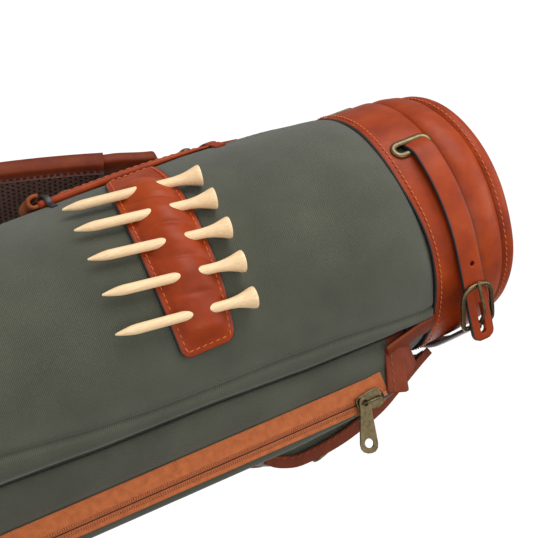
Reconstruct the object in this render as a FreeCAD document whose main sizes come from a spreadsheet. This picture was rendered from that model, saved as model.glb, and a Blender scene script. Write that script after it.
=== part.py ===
import FreeCAD, Part
import os
import re
import sys
from math import asin, atan2, cos, degrees, pi, radians, sin

import Sketcher
from FreeCAD import Placement, Rotation, Vector

# A slim single-tube golf bag that is carried on one shoulder.  It stands upright: +Z runs from the
# base to the mouth, the spine with the carry handle is on -X, the pockets are on +X, and the tee
# holder faces -Y.  The origin is the centre of the flat underside.  Angles round the tube are
# counted from -Y towards +X, in degrees.  All lengths are millimetres.

SIZES = {
    # fabric tube: outside radius at each height
    "wall": 3.2,
    "foot_height": 8.0,
    "foot_radius": 71.8,
    "low_height": 300.0,
    "low_radius": 72.6,
    "belly_start": 655.0,
    "belly_end": 740.0,
    "belly_radius": 76.0,
    "shoulder_height": 790.0,
    "shoulder_radius": 73.0,
    "neck_start": 815.0,
    "neck_start_radius": 70.4,
    "neck_foot": 822.5,
    "neck_radius": 66.3,
    "tube_top": 848.0,
    "gap": 0.4,
    # base
    "sole_radius": 69.8,
    "sole_thick": 3.0,
    "board_radius": 67.9,
    "board_thick": 4.0,
    "cuff_radius": 75.2,
    "cuff_thick": 2.2,
    "cuff_height": 66.0,
    "stay_radius": 2.5,
    # collar
    "collar_height": 823.0,
    "band_radius": 69.2,
    "band_thick": 2.5,
    "band_width": 29.0,
    "roll_radius": 68.8,
    "roll_inner": 63.0,
    "roll_top": 872.0,
    "lip_radius": 66.0,
    "lip_inner": 59.6,
    "mouth_top": 880.0,
    "hoop_radius": 61.0,
    "hoop_wire": 1.6,
    "hoop_height": 862.0,
    "divider_thick": 12.0,
    "divider_depth": 16.0,
    "divider_half": 58.0,
    "panel_foot": 560.0,
    # cinch belt
    "belt_width": 13.6,
    "belt_height": 844.0,
    "belt_thick": 2.4,
    "belt_radius": 70.7,
    "eyelet_height": 840.5,
    "eyelet_length": 22.0,
    "eyelet_width": 9.0,
    "buckle_wire": 1.3,
    "prong_wire": 1.0,
    # tees
    "tee_length": 69.85,
    "tee_shaft": 2.45,
    "tee_head": 5.4,
    "patch_radius": 76.4,
    "patch_thick": 1.6,
    "patch_width": 34.0,
    "loop_length": 14.5,
    "loop_radius": 4.4,
    "loop_bore": 2.8,
    # pockets
    "pocket_half": 47.0,
    "pouch_half": 27.0,
    "pouch_shift": 17.0,
    "binding_thick": 1.6,
    # zippers
    "tape_thick": 0.6,
    "chain_thick": 1.2,
    "main_zip": 392.0,
    "pouch_zip": 48.0,
    # carry handle
    "handle_width": 26.0,
    "handle_thick": 4.0,
    # shoulder strap
    "strap_arc": 560.0,
    "strap_thick": 7.0,
    "strap_width": 62.0,
    "mesh_thick": 1.6,
    "tongue_width": 25.0,
    "tongue_thick": 3.0,
    "ring_wire": 1.6,
    "ring_radius": 11.0,
    "hook_wire": 1.7,
    "hook_radius": 6.6,
}

doc = FreeCAD.newDocument("carry_bag")
parts = []


def size(alias):
    return SIZES[alias]


def fill_sheet():
    """Write every driving dimension to the spreadsheet, with its alias."""
    sheet = doc.addObject("Spreadsheet::Sheet", "Sizes")
    for row, (alias, value) in enumerate(SIZES.items(), 1):
        sheet.set("A%d" % row, alias)
        sheet.set("B%d" % row, str(value))
        sheet.setAlias("B%d" % row, alias)
    doc.recompute()


def formula(text):
    """Turn 'wall + 2' into the sheet's own form, 'Sizes.wall + 2'."""
    return re.sub(r"[a-z][a-z_]+", lambda word: "Sizes." + word.group(0), str(text))


def bind(thing, **properties):
    for name, text in properties.items():
        thing.setExpression(name, formula(text))
    return thing


def keep(thing, label, place=None):
    """Name a finished sub-part, place it and put it on the list to be written."""
    thing.Label = label
    if place is not None:
        thing.Placement = place
    parts.append(thing)
    return thing


def turned(angle, axis=Vector(0, 0, 1), at=Vector(0, 0, 0)):
    return Placement(at, Rotation(axis, angle))


def round_tube(radius, angle, height):
    """A point given by its distance from the bag's axis, its angle round it and its height."""
    return Vector(radius * sin(radians(angle)), -radius * cos(radians(angle)), height)


# ---------------------------------------------------------------- sketch-based features

def new_body(name):
    return doc.addObject("PartDesign::Body", name + "_body")


def origin_plane(body, role):
    return [item for item in body.Origin.OriginFeatures if item.Role == role][0]


def outline(body, role, points):
    """A closed outline of straight edges, each corner held by two bound distances."""
    sketch = body.newObject("Sketcher::SketchObject", body.Name + "_sketch")
    sketch.AttachmentSupport = [(origin_plane(body, role), "")]
    sketch.MapMode = "FlatFace"
    count = len(points)
    ring = [Vector(50 * cos(2 * pi * i / count), 50 * sin(2 * pi * i / count), 0)
            for i in range(count + 1)]
    for i in range(count):
        sketch.addGeometry(Part.LineSegment(ring[i], ring[i + 1]), False)
    for i in range(count):
        sketch.addConstraint(Sketcher.Constraint("Coincident", i, 2, (i + 1) % count, 1))
    for i, corner in enumerate(points):
        for kind, value in zip(("DistanceX", "DistanceY"), corner):
            row = sketch.addConstraint(Sketcher.Constraint(kind, -1, 1, i, 1, 1.0))
            sketch.setExpression("Constraints[%d]" % row, formula(value))
    doc.recompute()
    return sketch


def revolve(body, points):
    turn = body.newObject("PartDesign::Revolution", body.Name + "_turn")
    turn.Profile = outline(body, "XZ_Plane", points)
    turn.ReferenceAxis = (turn.Profile[0], ["V_Axis"])
    turn.Angle = 360
    doc.recompute()
    return turn


def groove(body, points):
    """Cut a turned shape out of a body, and make sure that something was cut."""
    before = body.Shape.Volume
    cut = body.newObject("PartDesign::Groove", body.Name + "_groove")
    cut.Profile = outline(body, "XZ_Plane", points)
    cut.ReferenceAxis = (cut.Profile[0], ["V_Axis"])
    cut.Angle = 360
    doc.recompute()
    if not body.Shape.Volume < before:
        sys.exit("groove cuts nothing: " + body.Name)
    return cut


def pad(body, role, points, width):
    """A plate of the given outline, half of its width on each side of the plane."""
    plate = body.newObject("PartDesign::Pad", body.Name + "_pad")
    plate.Profile = outline(body, role, points)
    plate.SideType = "Symmetric"
    bind(plate, Length=width)
    doc.recompute()
    return plate


def soften(body, radius):
    """Round every edge of the body so far."""
    base = body.Tip
    edge = body.newObject("PartDesign::Fillet", body.Name + "_soft")
    edge.Base = (base, [""])
    edge.UseAllEdges = True
    edge.Radius = radius
    doc.recompute()
    return edge


def turned_part(label, points, place=None, soft=None):
    body = new_body(label)
    revolve(body, points)
    if soft:
        soften(body, soft)
    return keep(body, label, place)


def plate_part(label, role, points, width, place=None, soft=None):
    body = new_body(label)
    pad(body, role, points, width)
    if soft:
        soften(body, soft)
    return keep(body, label, place)


# ---------------------------------------------------------------- primitives and booleans

def solid(kind, name, place=None, **properties):
    """A Part primitive, such as a Box or a Torus, with bound sizes."""
    thing = bind(doc.addObject("Part::" + kind, name), **properties)
    if place is not None:
        thing.Placement = place
    return thing


def cylinder(name, radius, height, place=None, sweep=360):
    return solid("Cylinder", name, place, Radius=radius, Height=height, Angle=sweep)


def box(name, length, width, height, place):
    return solid("Box", name, place, Length=length, Width=width, Height=height)


def cut(name, base, tool):
    result = doc.addObject("Part::Cut", name)
    result.Base = base
    result.Tool = tool
    doc.recompute()
    return result


def fuse(name, pieces):
    result = doc.addObject("Part::MultiFuse", name)
    result.Shapes = pieces
    doc.recompute()
    return result


def sector(name, inner, outer, height, sweep=360):
    """A curved strip that stands on the XY plane and starts on +X."""
    hole = cylinder(name + "_inside", inner, "(%s) + 2" % height, turned(0, at=Vector(0, 0, -1)))
    return cut(name, cylinder(name + "_outside", outer, height, sweep=sweep), hole)


def curved_strip(label, inner, outer, start, sweep, foot, height):
    """A strip bent round the bag's axis, from the angle start, counted as in round_tube."""
    strip = sector(label + "_strip", inner, outer, height, sweep)
    return keep(strip, label, turned(start - 90, at=Vector(0, 0, foot)))


# ---------------------------------------------------------------- tube, base and lining

TUBE = [("foot_radius", "foot_height"), ("low_radius", "low_height"),
        ("belly_radius", "belly_start"), ("belly_radius", "belly_end"),
        ("shoulder_radius", "shoulder_height"), ("neck_start_radius", "neck_start"),
        ("neck_radius", "neck_foot"), ("neck_radius", "tube_top")]


def tube_wall(inner, outer):
    """The tube's outline between two offsets from its outside."""
    up = [(radius + outer, height) for radius, height in TUBE]
    down = [(radius + inner, height) for radius, height in reversed(TUBE)]
    return up + down


def tube_core(offset):
    """The outline of everything inside the tube's outside plus an offset."""
    side = [("%s + %s" % (radius, offset), height) for radius, height in TUBE]
    return [(0, "foot_height")] + side + [(0, "tube_top")]


def tube_radius(height):
    """The tube's outside radius at a height."""
    for (r_low, z_low), (r_high, z_high) in zip(TUBE, TUBE[1:]):
        if height <= size(z_high):
            share = (height - size(z_low)) / (size(z_high) - size(z_low))
            return size(r_low) + share * (size(r_high) - size(r_low))
    return size("neck_radius")


def make_tube():
    turned_part("body_shell", tube_wall(" - wall", ""))
    turned_part("inner_lining", tube_wall(" - wall - 0.9", " - wall - 0.3"))


def make_base():
    turned_part("base_sole", [(0, 0), ("sole_radius", 0), ("sole_radius", "sole_thick"),
                              (0, "sole_thick")])
    low = "sole_thick + 0.3"
    high = low + " + board_thick"
    turned_part("base_board", [(0, low), ("board_radius", low), ("board_radius", high), (0, high)])
    inner = "cuff_radius - cuff_thick"
    turned_part("base_cuff", [
        ("sole_radius + 0.4", 0.5), ("cuff_radius - 2", 0.5), ("cuff_radius", 2.5),
        ("cuff_radius", "cuff_height"), (inner, "cuff_height"), (inner, 2.9),
        ("sole_radius + 0.4", 2.9)])


def make_stays():
    """Two thin rods that keep the tube straight, in the lining on the spine side."""
    foot = size("sole_thick") + size("board_thick") + 0.6
    top = size("tube_top") - 2
    low = size("foot_radius") - size("wall") - 4.4
    high = size("neck_radius") - size("wall") - 4.4
    rods = []
    for side in (-1, 1):
        start = round_tube(low, -90 + side * 28, foot)
        end = round_tube(high, -90 + side * 28, top)
        rod = cylinder("stay_%d" % (side + 2), "stay_radius", (end - start).Length)
        rod.Placement = Placement(start, Rotation(Vector(0, 0, 1), end - start))
        rods.append(rod)
    group = doc.addObject("Part::Compound", "spine_stays_group")
    group.Links = rods
    keep(group, "spine_stays")


# ---------------------------------------------------------------- collar and mouth

EYELET_ANGLES = (-29.0, -98.0)


def stadium(name, length, width, depth, place):
    """A slot shape, long along the bag's axis, deep along its own Y."""
    ends = [cylinder("%s_end_%d" % (name, i), "(%s) / 2" % width, depth,
                     Placement(Vector(0, 0, i * (length - width) / 2), Rotation(Vector(1, 0, 0), -90)))
            for i in (-1, 1)]
    middle = box(name + "_middle", width, depth, length - width,
                 Placement(Vector(-width / 2, 0, -(length - width) / 2), Rotation()))
    whole = fuse(name, ends + [middle])
    whole.Placement = place
    return whole


def eyelet_place(angle, radius):
    return Placement(round_tube(radius, angle, size("eyelet_height")), Rotation(Vector(0, 0, 1), angle))


def make_collar():
    inner = "band_radius - band_thick"
    ring = sector("collar_ring", inner, "band_radius", "band_width")
    ring.Placement.Base.z = size("collar_height")
    slots = [stadium("eyelet_slot_%d" % i, size("eyelet_length") - 3, size("eyelet_width") - 3, 12,
                     eyelet_place(angle, size("band_radius") + 4))
             for i, angle in enumerate(EYELET_ANGLES)]
    keep(cut("collar_with_slots", ring, fuse("eyelet_slots", slots)), "collar_band")
    make_eyelets()
    turned_part("mouth_roll", [
        ("roll_inner", "collar_height + band_width + 0.3"),
        ("roll_radius", "collar_height + band_width + 0.3"),
        ("roll_radius", "roll_top"), ("roll_inner", "roll_top")], soft=2.8)
    turned_part("mouth_lip", [
        ("lip_inner", "roll_top + 0.3"), ("lip_radius", "roll_top + 0.3"),
        ("lip_radius", "mouth_top"), ("lip_inner", "mouth_top")], soft=3.0)
    hoop = solid("Torus", "hoop_torus", Radius1="hoop_radius", Radius2="hoop_wire")
    keep(hoop, "mouth_hoop", turned(0, at=Vector(0, 0, size("hoop_height"))))


def make_eyelets():
    """Oval brass grommets that stand in the collar's two slots."""
    rings = []
    for i, angle in enumerate(EYELET_ANGLES):
        place = eyelet_place(angle, size("band_radius") + 1.1)
        outer = stadium("eyelet_rim_%d" % i, size("eyelet_length"), size("eyelet_width"), 0.9, place)
        neck = stadium("eyelet_neck_%d" % i, size("eyelet_length") - 3.4, size("eyelet_width") - 3.4,
                       3.6, place)
        hole = stadium("eyelet_hole_%d" % i, size("eyelet_length") - 5, size("eyelet_width") - 5,
                       12, eyelet_place(angle, size("band_radius") + 4))
        rings.append(cut("eyelet_%d" % i, fuse("eyelet_body_%d" % i, [outer, neck]), hole))
    group = doc.addObject("Part::Compound", "strap_eyelets_group")
    group.Links = rings
    keep(group, "strap_eyelets")


def make_divider():
    """A padded bar across the mouth, with the fabric sheet that hangs from it."""
    half = size("divider_half")
    top = size("roll_top") - 4
    foot = top - size("divider_depth")
    plate_part("mouth_divider", "YZ_Plane", [(-half, foot), (half, foot), (half, top), (-half, top)],
               "divider_thick", soft=5.0)
    plate_part("divider_panel", "YZ_Plane", [
        (-half, "panel_foot"), (half, "panel_foot"), (half, foot - 0.3), (-half, foot - 0.3)], 1.2)


# ---------------------------------------------------------------- cinch belt

BEND_ANGLE = 22.0
FREE_ALONG = 20.0
BAR_ALONG = 44.0
TONGUE_ALONG = 51.0
JOIN_ANGLE = 83.0


def off_band(along, out, height=0):
    """A point along the belt's straight run, which leaves the band at the bend angle."""
    turn = radians(BEND_ANGLE)
    return Vector(along * cos(turn) + out * sin(turn), along * sin(turn) - out * cos(turn), height)


def buckle_bar(height=0):
    """The middle of the buckle's bar, just under the belt."""
    return off_band(BAR_ALONG, size("belt_radius") - 0.4 - size("buckle_wire"), height)


def arc_points(radius, start, end, step=6.0):
    """Corners along an arc round the bag's axis."""
    count = int(abs(end - start) / step) + 1
    return [round_tube(radius, start + (end - start) * i / count, 0) for i in range(count + 1)]


def belt_piece(label, inner_line, outer_line, width, height):
    """A strap that stands on edge: the outline between two lines seen from above."""
    corners = [(p.x, p.y) for p in inner_line + outer_line[::-1]]
    return plate_part(label, "XY_Plane", corners, width, turned(0, at=Vector(0, 0, height)))


def bent_wire(name, points, radius):
    """A round wire along straight runs with ball corners."""
    pieces = []
    for i, (start, end) in enumerate(zip(points, points[1:])):
        run = end - start
        rod = cylinder("%s_run_%d" % (name, i), radius, run.Length)
        rod.Placement = Placement(start, Rotation(Vector(0, 0, 1), run))
        pieces.append(rod)
    for i, point in enumerate(points):
        pieces.append(solid("Sphere", "%s_ball_%d" % (name, i), turned(0, at=point), Radius=radius))
    return fuse(name, pieces)


def make_belt():
    inner, outer = size("belt_radius"), size("belt_radius") + size("belt_thick")
    height = size("belt_height")
    start = EYELET_ANGLES[0] + 1.5
    tongue_inner = arc_points(inner, start, BEND_ANGLE) + [off_band(TONGUE_ALONG, inner)]
    tongue_outer = arc_points(outer, start, BEND_ANGLE) + [off_band(TONGUE_ALONG, outer)]
    body = new_body("cinch_strap")
    corners = [(p.x, p.y) for p in tongue_inner + tongue_outer[::-1]]
    pad(body, "XY_Plane", corners, "belt_width")
    make_tongue_slot(body)
    keep(body, "cinch_strap", turned(0, at=Vector(0, 0, height)))
    rear_end = 360 + EYELET_ANGLES[1] - 1.5
    rear_inner = arc_points(inner, JOIN_ANGLE, rear_end)
    rear_outer = arc_points(outer, JOIN_ANGLE, rear_end)
    toward = (buckle_bar() - (rear_inner[0] + rear_outer[0]) * 0.5)
    run = toward.normalize() * (toward.Length - 3.3)
    belt_piece("buckle_strap", [rear_inner[0] + run] + rear_inner, [rear_outer[0] + run] + rear_outer,
               "belt_width", height)
    make_buckle(height)


def make_tongue_slot(body):
    """The long hole in the belt that the prong stands in."""
    outer = size("belt_radius") + size("belt_thick")
    ends = [off_band(along, outer + reach) for along, reach in (
        (BAR_ALONG - 13, -7), (BAR_ALONG + 3, -7), (BAR_ALONG + 3, 5), (BAR_ALONG - 13, 5))]
    before = body.Shape.Volume
    slot = body.newObject("PartDesign::Pocket", "tongue_slot")
    slot.Profile = outline(body, "XY_Plane", [(p.x, p.y) for p in ends])
    slot.SideType = "Symmetric"
    bind(slot, Length="prong_wire * 2 + 1.4")
    doc.recompute()
    if not body.Shape.Volume < before:
        sys.exit("the tongue slot cuts nothing")


def make_buckle(height):
    """A four-sided wire frame on a bar, and the prong that turns on the same bar."""
    half = size("belt_width") / 2 + 2.6
    free = size("belt_radius") + size("belt_thick") + 0.4 + size("buckle_wire")
    corners = [buckle_bar(height - half), off_band(FREE_ALONG, free, height - half),
               off_band(FREE_ALONG, free, height + half), buckle_bar(height + half)]
    keep(bent_wire("buckle_loop", corners + [corners[0]], "buckle_wire"), "buckle_frame")
    top = free + size("buckle_wire") + 0.4 + size("prong_wire")
    line = [buckle_bar(height) + off_band(-1.6, 2.4), off_band(BAR_ALONG - 9, top + 0.5, height),
            off_band(FREE_ALONG - 3.5, top, height)]
    eye = cut("prong_eye",
              cylinder("prong_eye_outside", "buckle_wire + 1.35", 2.0),
              cylinder("prong_eye_hole", "buckle_wire + 0.05", 4, turned(0, at=Vector(0, 0, -1))))
    eye.Placement.Base = buckle_bar(height - 1)
    hole = cylinder("prong_bar_room", "buckle_wire + 0.05", 4, turned(0, at=buckle_bar(height - 2)))
    prong = cut("prong_shape", fuse("prong_whole", [bent_wire("prong_pin", line, "prong_wire"), eye]),
                hole)
    keep(prong, "buckle_prong")


# ---------------------------------------------------------------- tees and their holder

TEE_COUNT = 5


def tee_line(index):
    """The point end and the head end of a tee, numbered from the spine side."""
    step = index - (TEE_COUNT - 1) / 2
    head = round_tube(82.2, -20.0 + 12.5 * step, size("collar_height") - 98.9 - 1.7 * step)
    tip = round_tube(81.0, -28.4 + 13.6 * step, size("collar_height") - 167.6 - 2.8 * step)
    along = (head - tip).normalize()
    return head - along * size("tee_length"), along


def make_tee(index):
    tip, along = tee_line(index)
    shaft, head, length = "tee_shaft", "tee_head", "tee_length"
    turned_part("tee_%d" % (index + 1), [
        (0, 0), (0.5, 0.2), (shaft + " * 0.95", 9), (shaft, 12), (shaft, length + " - 13"),
        (shaft + " + 0.5", length + " - 9"), (head + " - 1", length + " - 3"),
        (head, length + " - 1.2"), (head, length + " - 0.3"), (head + " - 0.9", length),
        (0, length + " - 2")], Placement(tip, Rotation(Vector(0, 0, 1), along)))


def make_tee_holder():
    """A curved leather patch with one raised loop for each tee."""
    middle, spread = -29.0, 92.0
    height = size("collar_height") - 125.0
    strip = sector("patch_strip", "patch_radius", "patch_radius + patch_thick", "patch_width", spread)
    strip.Placement = turned(middle - 90 - spread / 2, at=Vector(0, 0, height - size("patch_width") / 2))
    loops, bores = [], []
    for index in range(TEE_COUNT):
        tip, along = tee_line(index)
        angle = degrees(atan2(tip.x + along.x * 40, -(tip.y + along.y * 40)))
        centre = height - (angle - middle) * 0.152
        share = (centre - tip.z) / along.z
        turn = Rotation(Vector(0, 0, 1), along)
        start = tip + along * (share - size("loop_length") / 2)
        loops.append(cylinder("loop_%d" % index, "loop_radius", "loop_length", Placement(start, turn)))
        bores.append(cylinder("bore_%d" % index, "loop_bore", size("patch_width") + 12,
                              Placement(tip + along * (share - size("patch_width") / 2 - 6), turn)))
    whole = fuse("patch_with_loops", [strip] + loops)
    keep(cut("patch_with_bores", whole, fuse("tee_bores", bores)), "tee_holder")


# ---------------------------------------------------------------- zippers

def zip_frame(origin, across, along):
    """A zipper's own frame: X across it, Z along it and Y into the bag."""
    inward = along.cross(across)
    matrix = FreeCAD.Matrix(across.x, inward.x, along.x, origin.x,
                            across.y, inward.y, along.y, origin.y,
                            across.z, inward.z, along.z, origin.z,
                            0, 0, 0, 1)
    return Placement(matrix)


def zip_strip(label, frame, left, right, low, high, depth):
    """A flat strip of a zipper, 0.3 clear of the surface that it is sewn to."""
    strip = box(label + "_box", right - left, depth, high - low,
                frame * Placement(Vector(left, -0.3 - size(depth), low), Rotation()))
    return keep(strip, label)


def make_slider(label, frame, middle):
    """The slider's plate, with the arch that the pull hangs on."""
    plate = box(label + "_plate", 9, 1.6, 14, Placement(Vector(-4.5, -3.6, middle - 7), Rotation()))
    posts = [box("%s_post_%d" % (label, i), 2.4, 3.6, 1.8,
                 Placement(Vector(-1.2, -6.8, middle + z), Rotation())) for i, z in enumerate((-4.4, 4.2))]
    arch = box(label + "_arch", 2.4, 1.3, 10.4, Placement(Vector(-1.2, -7.9, middle - 4.4), Rotation()))
    whole = fuse(label + "_whole", [plate, posts[0], posts[1], arch])
    return keep(whole, label, frame)


def make_pull(label, frame, middle, tilt):
    """A flat pull with an eye round the slider's lower post and a hole; tilt turns it on the post."""
    post = middle - 3.5
    outer = [(-3.1, -3.2), (3, -3.2), (7, -3.6), (22, -4.6), (25, -2.4), (25, 2.4), (22, 4.6),
             (7, 3.6), (3, 3.2), (-3.1, 3.2)]
    body = new_body(label)
    pad(body, "XZ_Plane", outer, 1.2)
    for name, centre, radius in (("eye", 0, 2.0), ("grip_hole", 20.5, 2.6)):
        before = body.Shape.Volume
        ring = [(centre + radius * cos(radians(a)), radius * sin(radians(a))) for a in range(0, 360, 30)]
        hole = body.newObject("PartDesign::Pocket", "%s_%s" % (label, name))
        hole.Profile = outline(body, "XZ_Plane", ring)
        hole.SideType = "Symmetric"
        bind(hole, Length=4)
        doc.recompute()
        if not body.Shape.Volume < before:
            sys.exit("the pull's hole cuts nothing")
    hang = Rotation(Vector(0, 1, 0), tilt)
    return keep(body, label, frame * Placement(Vector(0, -5.05, post), hang))


def make_zip(prefix, frame, length, left, right, slider_at, tilt):
    """Tapes, chain, stops, slider and pull, along the frame's Z from 0 down to -length."""
    zip_strip(prefix + "_tape_inner", frame, left, -1.3, -length, -6.6, "tape_thick")
    zip_strip(prefix + "_tape_outer", frame, 1.3, right, -length, -6.6, "tape_thick")
    zip_strip(prefix + "_chain", frame, -1.0, 1.0, -length + 4, -10.0, "chain_thick")
    stops = [box("%s_stop_%d" % (prefix, i), 2.4, 1.2, 2.2, Placement(Vector(-1.2, -1.6, low), Rotation()))
             for i, low in enumerate((-9.6, -length + 1.4))]
    group = doc.addObject("Part::Compound", prefix + "_stops_group")
    group.Links = stops
    keep(group, prefix + "_stops", frame)
    make_slider(prefix + "_slider", frame, slider_at)
    make_pull(prefix + "_pull", frame, slider_at, tilt)


# ---------------------------------------------------------------- main pocket and accessory pouch

POCKET_FRONT = [(85.5, 723), (84.5, 763), (82.3, 783), (77.5, 798), (73.0, 803)]


def make_main_pocket():
    """The long soft pocket on +X: a closed shape that fits round the tube."""
    body = new_body("main_pocket")
    profile = [(40, 372), (56, 372), (74, 384), (77, 400)] + POCKET_FRONT + [(40, 803)]
    pad(body, "XZ_Plane", profile, "pocket_half * 2")
    groove(body, tube_core("gap"))
    keep(body, "main_pocket")
    lean = degrees(atan2(5.0, 203.0))
    across = Vector(cos(radians(lean)), 0, -sin(radians(lean)))
    along = Vector(sin(radians(lean)), 0, cos(radians(lean)))
    frame = zip_frame(Vector(79.0, -size("pocket_half"), 787.0), across, along)
    make_zip("zip", frame, size("main_zip"), -10.6, 4.4, -19.0, 17)
    for label, low, reach in (("zip_top_tab", -6.0, 20.5), ("zip_foot_tab", -size("main_zip") - 12, 11.0)):
        tab = box(label + "_box", reach + 2.5, 2.6, 11.5,
                  frame * Placement(Vector(-reach, -3.0, low), Rotation()))
        keep(tab, label)
    curved_strip("pocket_corner_strap", 73.6, 75.6, 40.0, 10.0, 799.5, 23.0)


def make_pouch():
    """A small pouch on the upper front of the main pocket, with bound side edges."""
    outer = [(87.2, 714.5), (95.2, 725), (98.4, 738), (97.4, 762), (90.4, 790), (81.6, 811), (72.8, 828)]
    clear = [(72.0, 821), (74.6, 806), (78.6, 798.5), (83.0, 783.5), (85.2, 763), (86.2, 723)]
    shift = Vector(0, size("pouch_shift"), 0)
    plate_part("accessory_pouch", "XZ_Plane", outer + clear, "pouch_half * 2", turned(0, at=shift))
    edge_out = [(87.6, 713.5), (96, 724.5), (99.4, 738), (98.4, 762), (91.2, 790), (82.2, 811.5),
                (72.4, 830)]
    edge_in = [(70.6, 829), (74.2, 811), (79.4, 798.8), (84.4, 782), (88.6, 762), (90.2, 748), (89.4, 735),
               (86.6, 722)]
    sides = []
    for side in (-1, 1):
        body = new_body("binding_%d" % (side + 2))
        pad(body, "XZ_Plane", edge_out + edge_in, "binding_thick")
        reach = size("pouch_half") + size("binding_thick") / 2 + 0.3
        body.Placement.Base = shift + Vector(0, side * reach, 0)
        sides.append(body)
    group = doc.addObject("Part::Compound", "pouch_bindings_group")
    group.Links = sides
    keep(group, "pouch_bindings")
    low, high = Vector(97.4, 0, 762), Vector(90.4, 0, 790)
    slope = (high - low).normalize()
    middle = (low + high) * 0.5
    frame = zip_frame(middle + shift + Vector(0, size("pouch_zip") / 2, 0), slope * -1, Vector(0, 1, 0))
    make_zip("pouch_zip", frame, size("pouch_zip"), -6.0, 6.0, -18.0, 0)


# ---------------------------------------------------------------- carry handle

def make_handle():
    """A leather strap on the spine, bowed a little off the tube, with a keeper at each end."""
    inner = [(77.2, 653), (77.4, 665), (79.4, 700), (79.8, 714), (79.2, 730), (76.6, 763), (75.8, 773)]
    outer = [(x + size("handle_thick"), z) for x, z in inner]
    spine = turned(180)
    plate_part("carry_handle", "XZ_Plane", inner + outer[::-1], "handle_width", spine, soft=1.2)
    arches = []
    for name, foot, radius in (("low", 658, 82.9), ("high", 757, 82.6)):
        shell = sector("keeper_%s" % name, "belly_radius + 0.4" if name == "low" else 75.4,
                       radius + 1.6, 8.0, 28)
        room = sector("keeper_room_%s" % name, 70, radius, 10.0, 23.4)
        room.Placement = turned(2.3, at=Vector(0, 0, -1))
        arch = cut("keeper_arch_%s" % name, shell, room)
        arch.Placement = turned(180 - 14, at=Vector(0, 0, foot))
        arches.append(arch)
    group = doc.addObject("Part::Compound", "handle_keepers_group")
    group.Links = arches
    keep(group, "handle_keepers")
    rivets = []
    for i, (radius, height) in enumerate(((81.9, 672.5), (81.6, 751.0))):
        rivets.append(cylinder("handle_rivet_%d" % i, 3.6, 1.3, Placement(
            Vector(-radius - 0.3, 0, height), Rotation(Vector(0, 1, 0), -90))))
    group = doc.addObject("Part::Compound", "handle_rivets_group")
    group.Links = rivets
    keep(group, "handle_rivets")


# ---------------------------------------------------------------- shoulder strap

STRAP_ANGLE = -122.0
STRAP_MIDDLE = 503.0
STRAP_BOW = 129.0
STRAP_HALF_CHORD = 205.0
RING_BAR = 77.6
RING_DROP = 287.0


def strap_side():
    """The strap's own frame: X straight out of the tube at its angle."""
    return turned(STRAP_ANGLE - 90)


def strap_layer(label, inner, outer, width, soft=None):
    """A band along the strap's arc between two offsets from its middle line."""
    arc = size("strap_arc")
    half = degrees(asin(STRAP_HALF_CHORD / arc))
    centre = STRAP_BOW - arc
    count = 14
    turns = [radians(-half + 2 * half * i / count) for i in range(count + 1)]
    lines = [[(centre + (arc + off) * cos(turn), STRAP_MIDDLE + (arc + off) * sin(turn)) for turn in turns]
             for off in (inner, outer)]
    return plate_part(label, "XZ_Plane", lines[0] + lines[1][::-1], width, strap_side(), soft)


def make_strap_pad():
    half = size("strap_thick") / 2
    strap_layer("strap_pad", -half, half, "strap_width")
    strap_layer("strap_mesh", -half - 0.3 - size("mesh_thick"), -half - 0.3, "strap_width - 6")
    sides = []
    for side in (-1, 1):
        arc = size("strap_arc")
        turn = asin(STRAP_HALF_CHORD / arc)
        sides.append(strap_edge(side, turn))
    group = doc.addObject("Part::Compound", "strap_binding_group")
    group.Links = sides
    keep(group, "strap_binding", strap_side())


def strap_edge(side, turn):
    """The leather edging along one side of the pad."""
    arc = size("strap_arc")
    centre = STRAP_BOW - arc
    inner, outer = arc - 5.2, arc + 3.9
    name = "strap_edge_%d" % (side + 2)
    ring = sector(name, inner, outer, 1.8, 2 * degrees(turn))
    ring.Placement = Placement(Vector(centre, side * (size("strap_width") / 2 + 1.2) + 0.9, STRAP_MIDDLE),
                               Rotation(Vector(1, 0, 0), 90) * Rotation(Vector(0, 0, 1), -degrees(turn)))
    return ring


def ring_end(sign):
    """The frame of a strap end: its origin is the ring's wire, and Z points away from the strap."""
    height = STRAP_MIDDLE + sign * RING_DROP
    bar = Vector(RING_BAR, 0, height)
    wire = bar + Vector(6.6, 0, -sign * 8.8)
    return bar, wire


def d_ring(name, bar, wire):
    """A half-round wire ring on a straight bar."""
    radius, thick = size("ring_radius"), size("ring_wire")
    down = (wire - bar).normalize()
    bow = solid("Torus", name + "_bow", Radius1="ring_radius", Radius2="ring_wire", Angle3=180)
    across = Vector(0, 1, 0)
    matrix = FreeCAD.Matrix(across.x, down.x, across.cross(down).x, bar.x,
                            across.y, down.y, across.cross(down).y, bar.y,
                            across.z, down.z, across.cross(down).z, bar.z,
                            0, 0, 0, 1)
    bow.Placement = Placement(matrix)
    rod = cylinder(name + "_bar", "ring_wire", radius * 2,
                   Placement(bar - across * radius, Rotation(Vector(0, 0, 1), across)))
    corners = [solid("Sphere", "%s_corner_%d" % (name, i), turned(0, at=bar + across * radius * i),
                     Radius=thick) for i in (-1, 1)]
    return fuse(name, [bow, rod] + corners)


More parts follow.
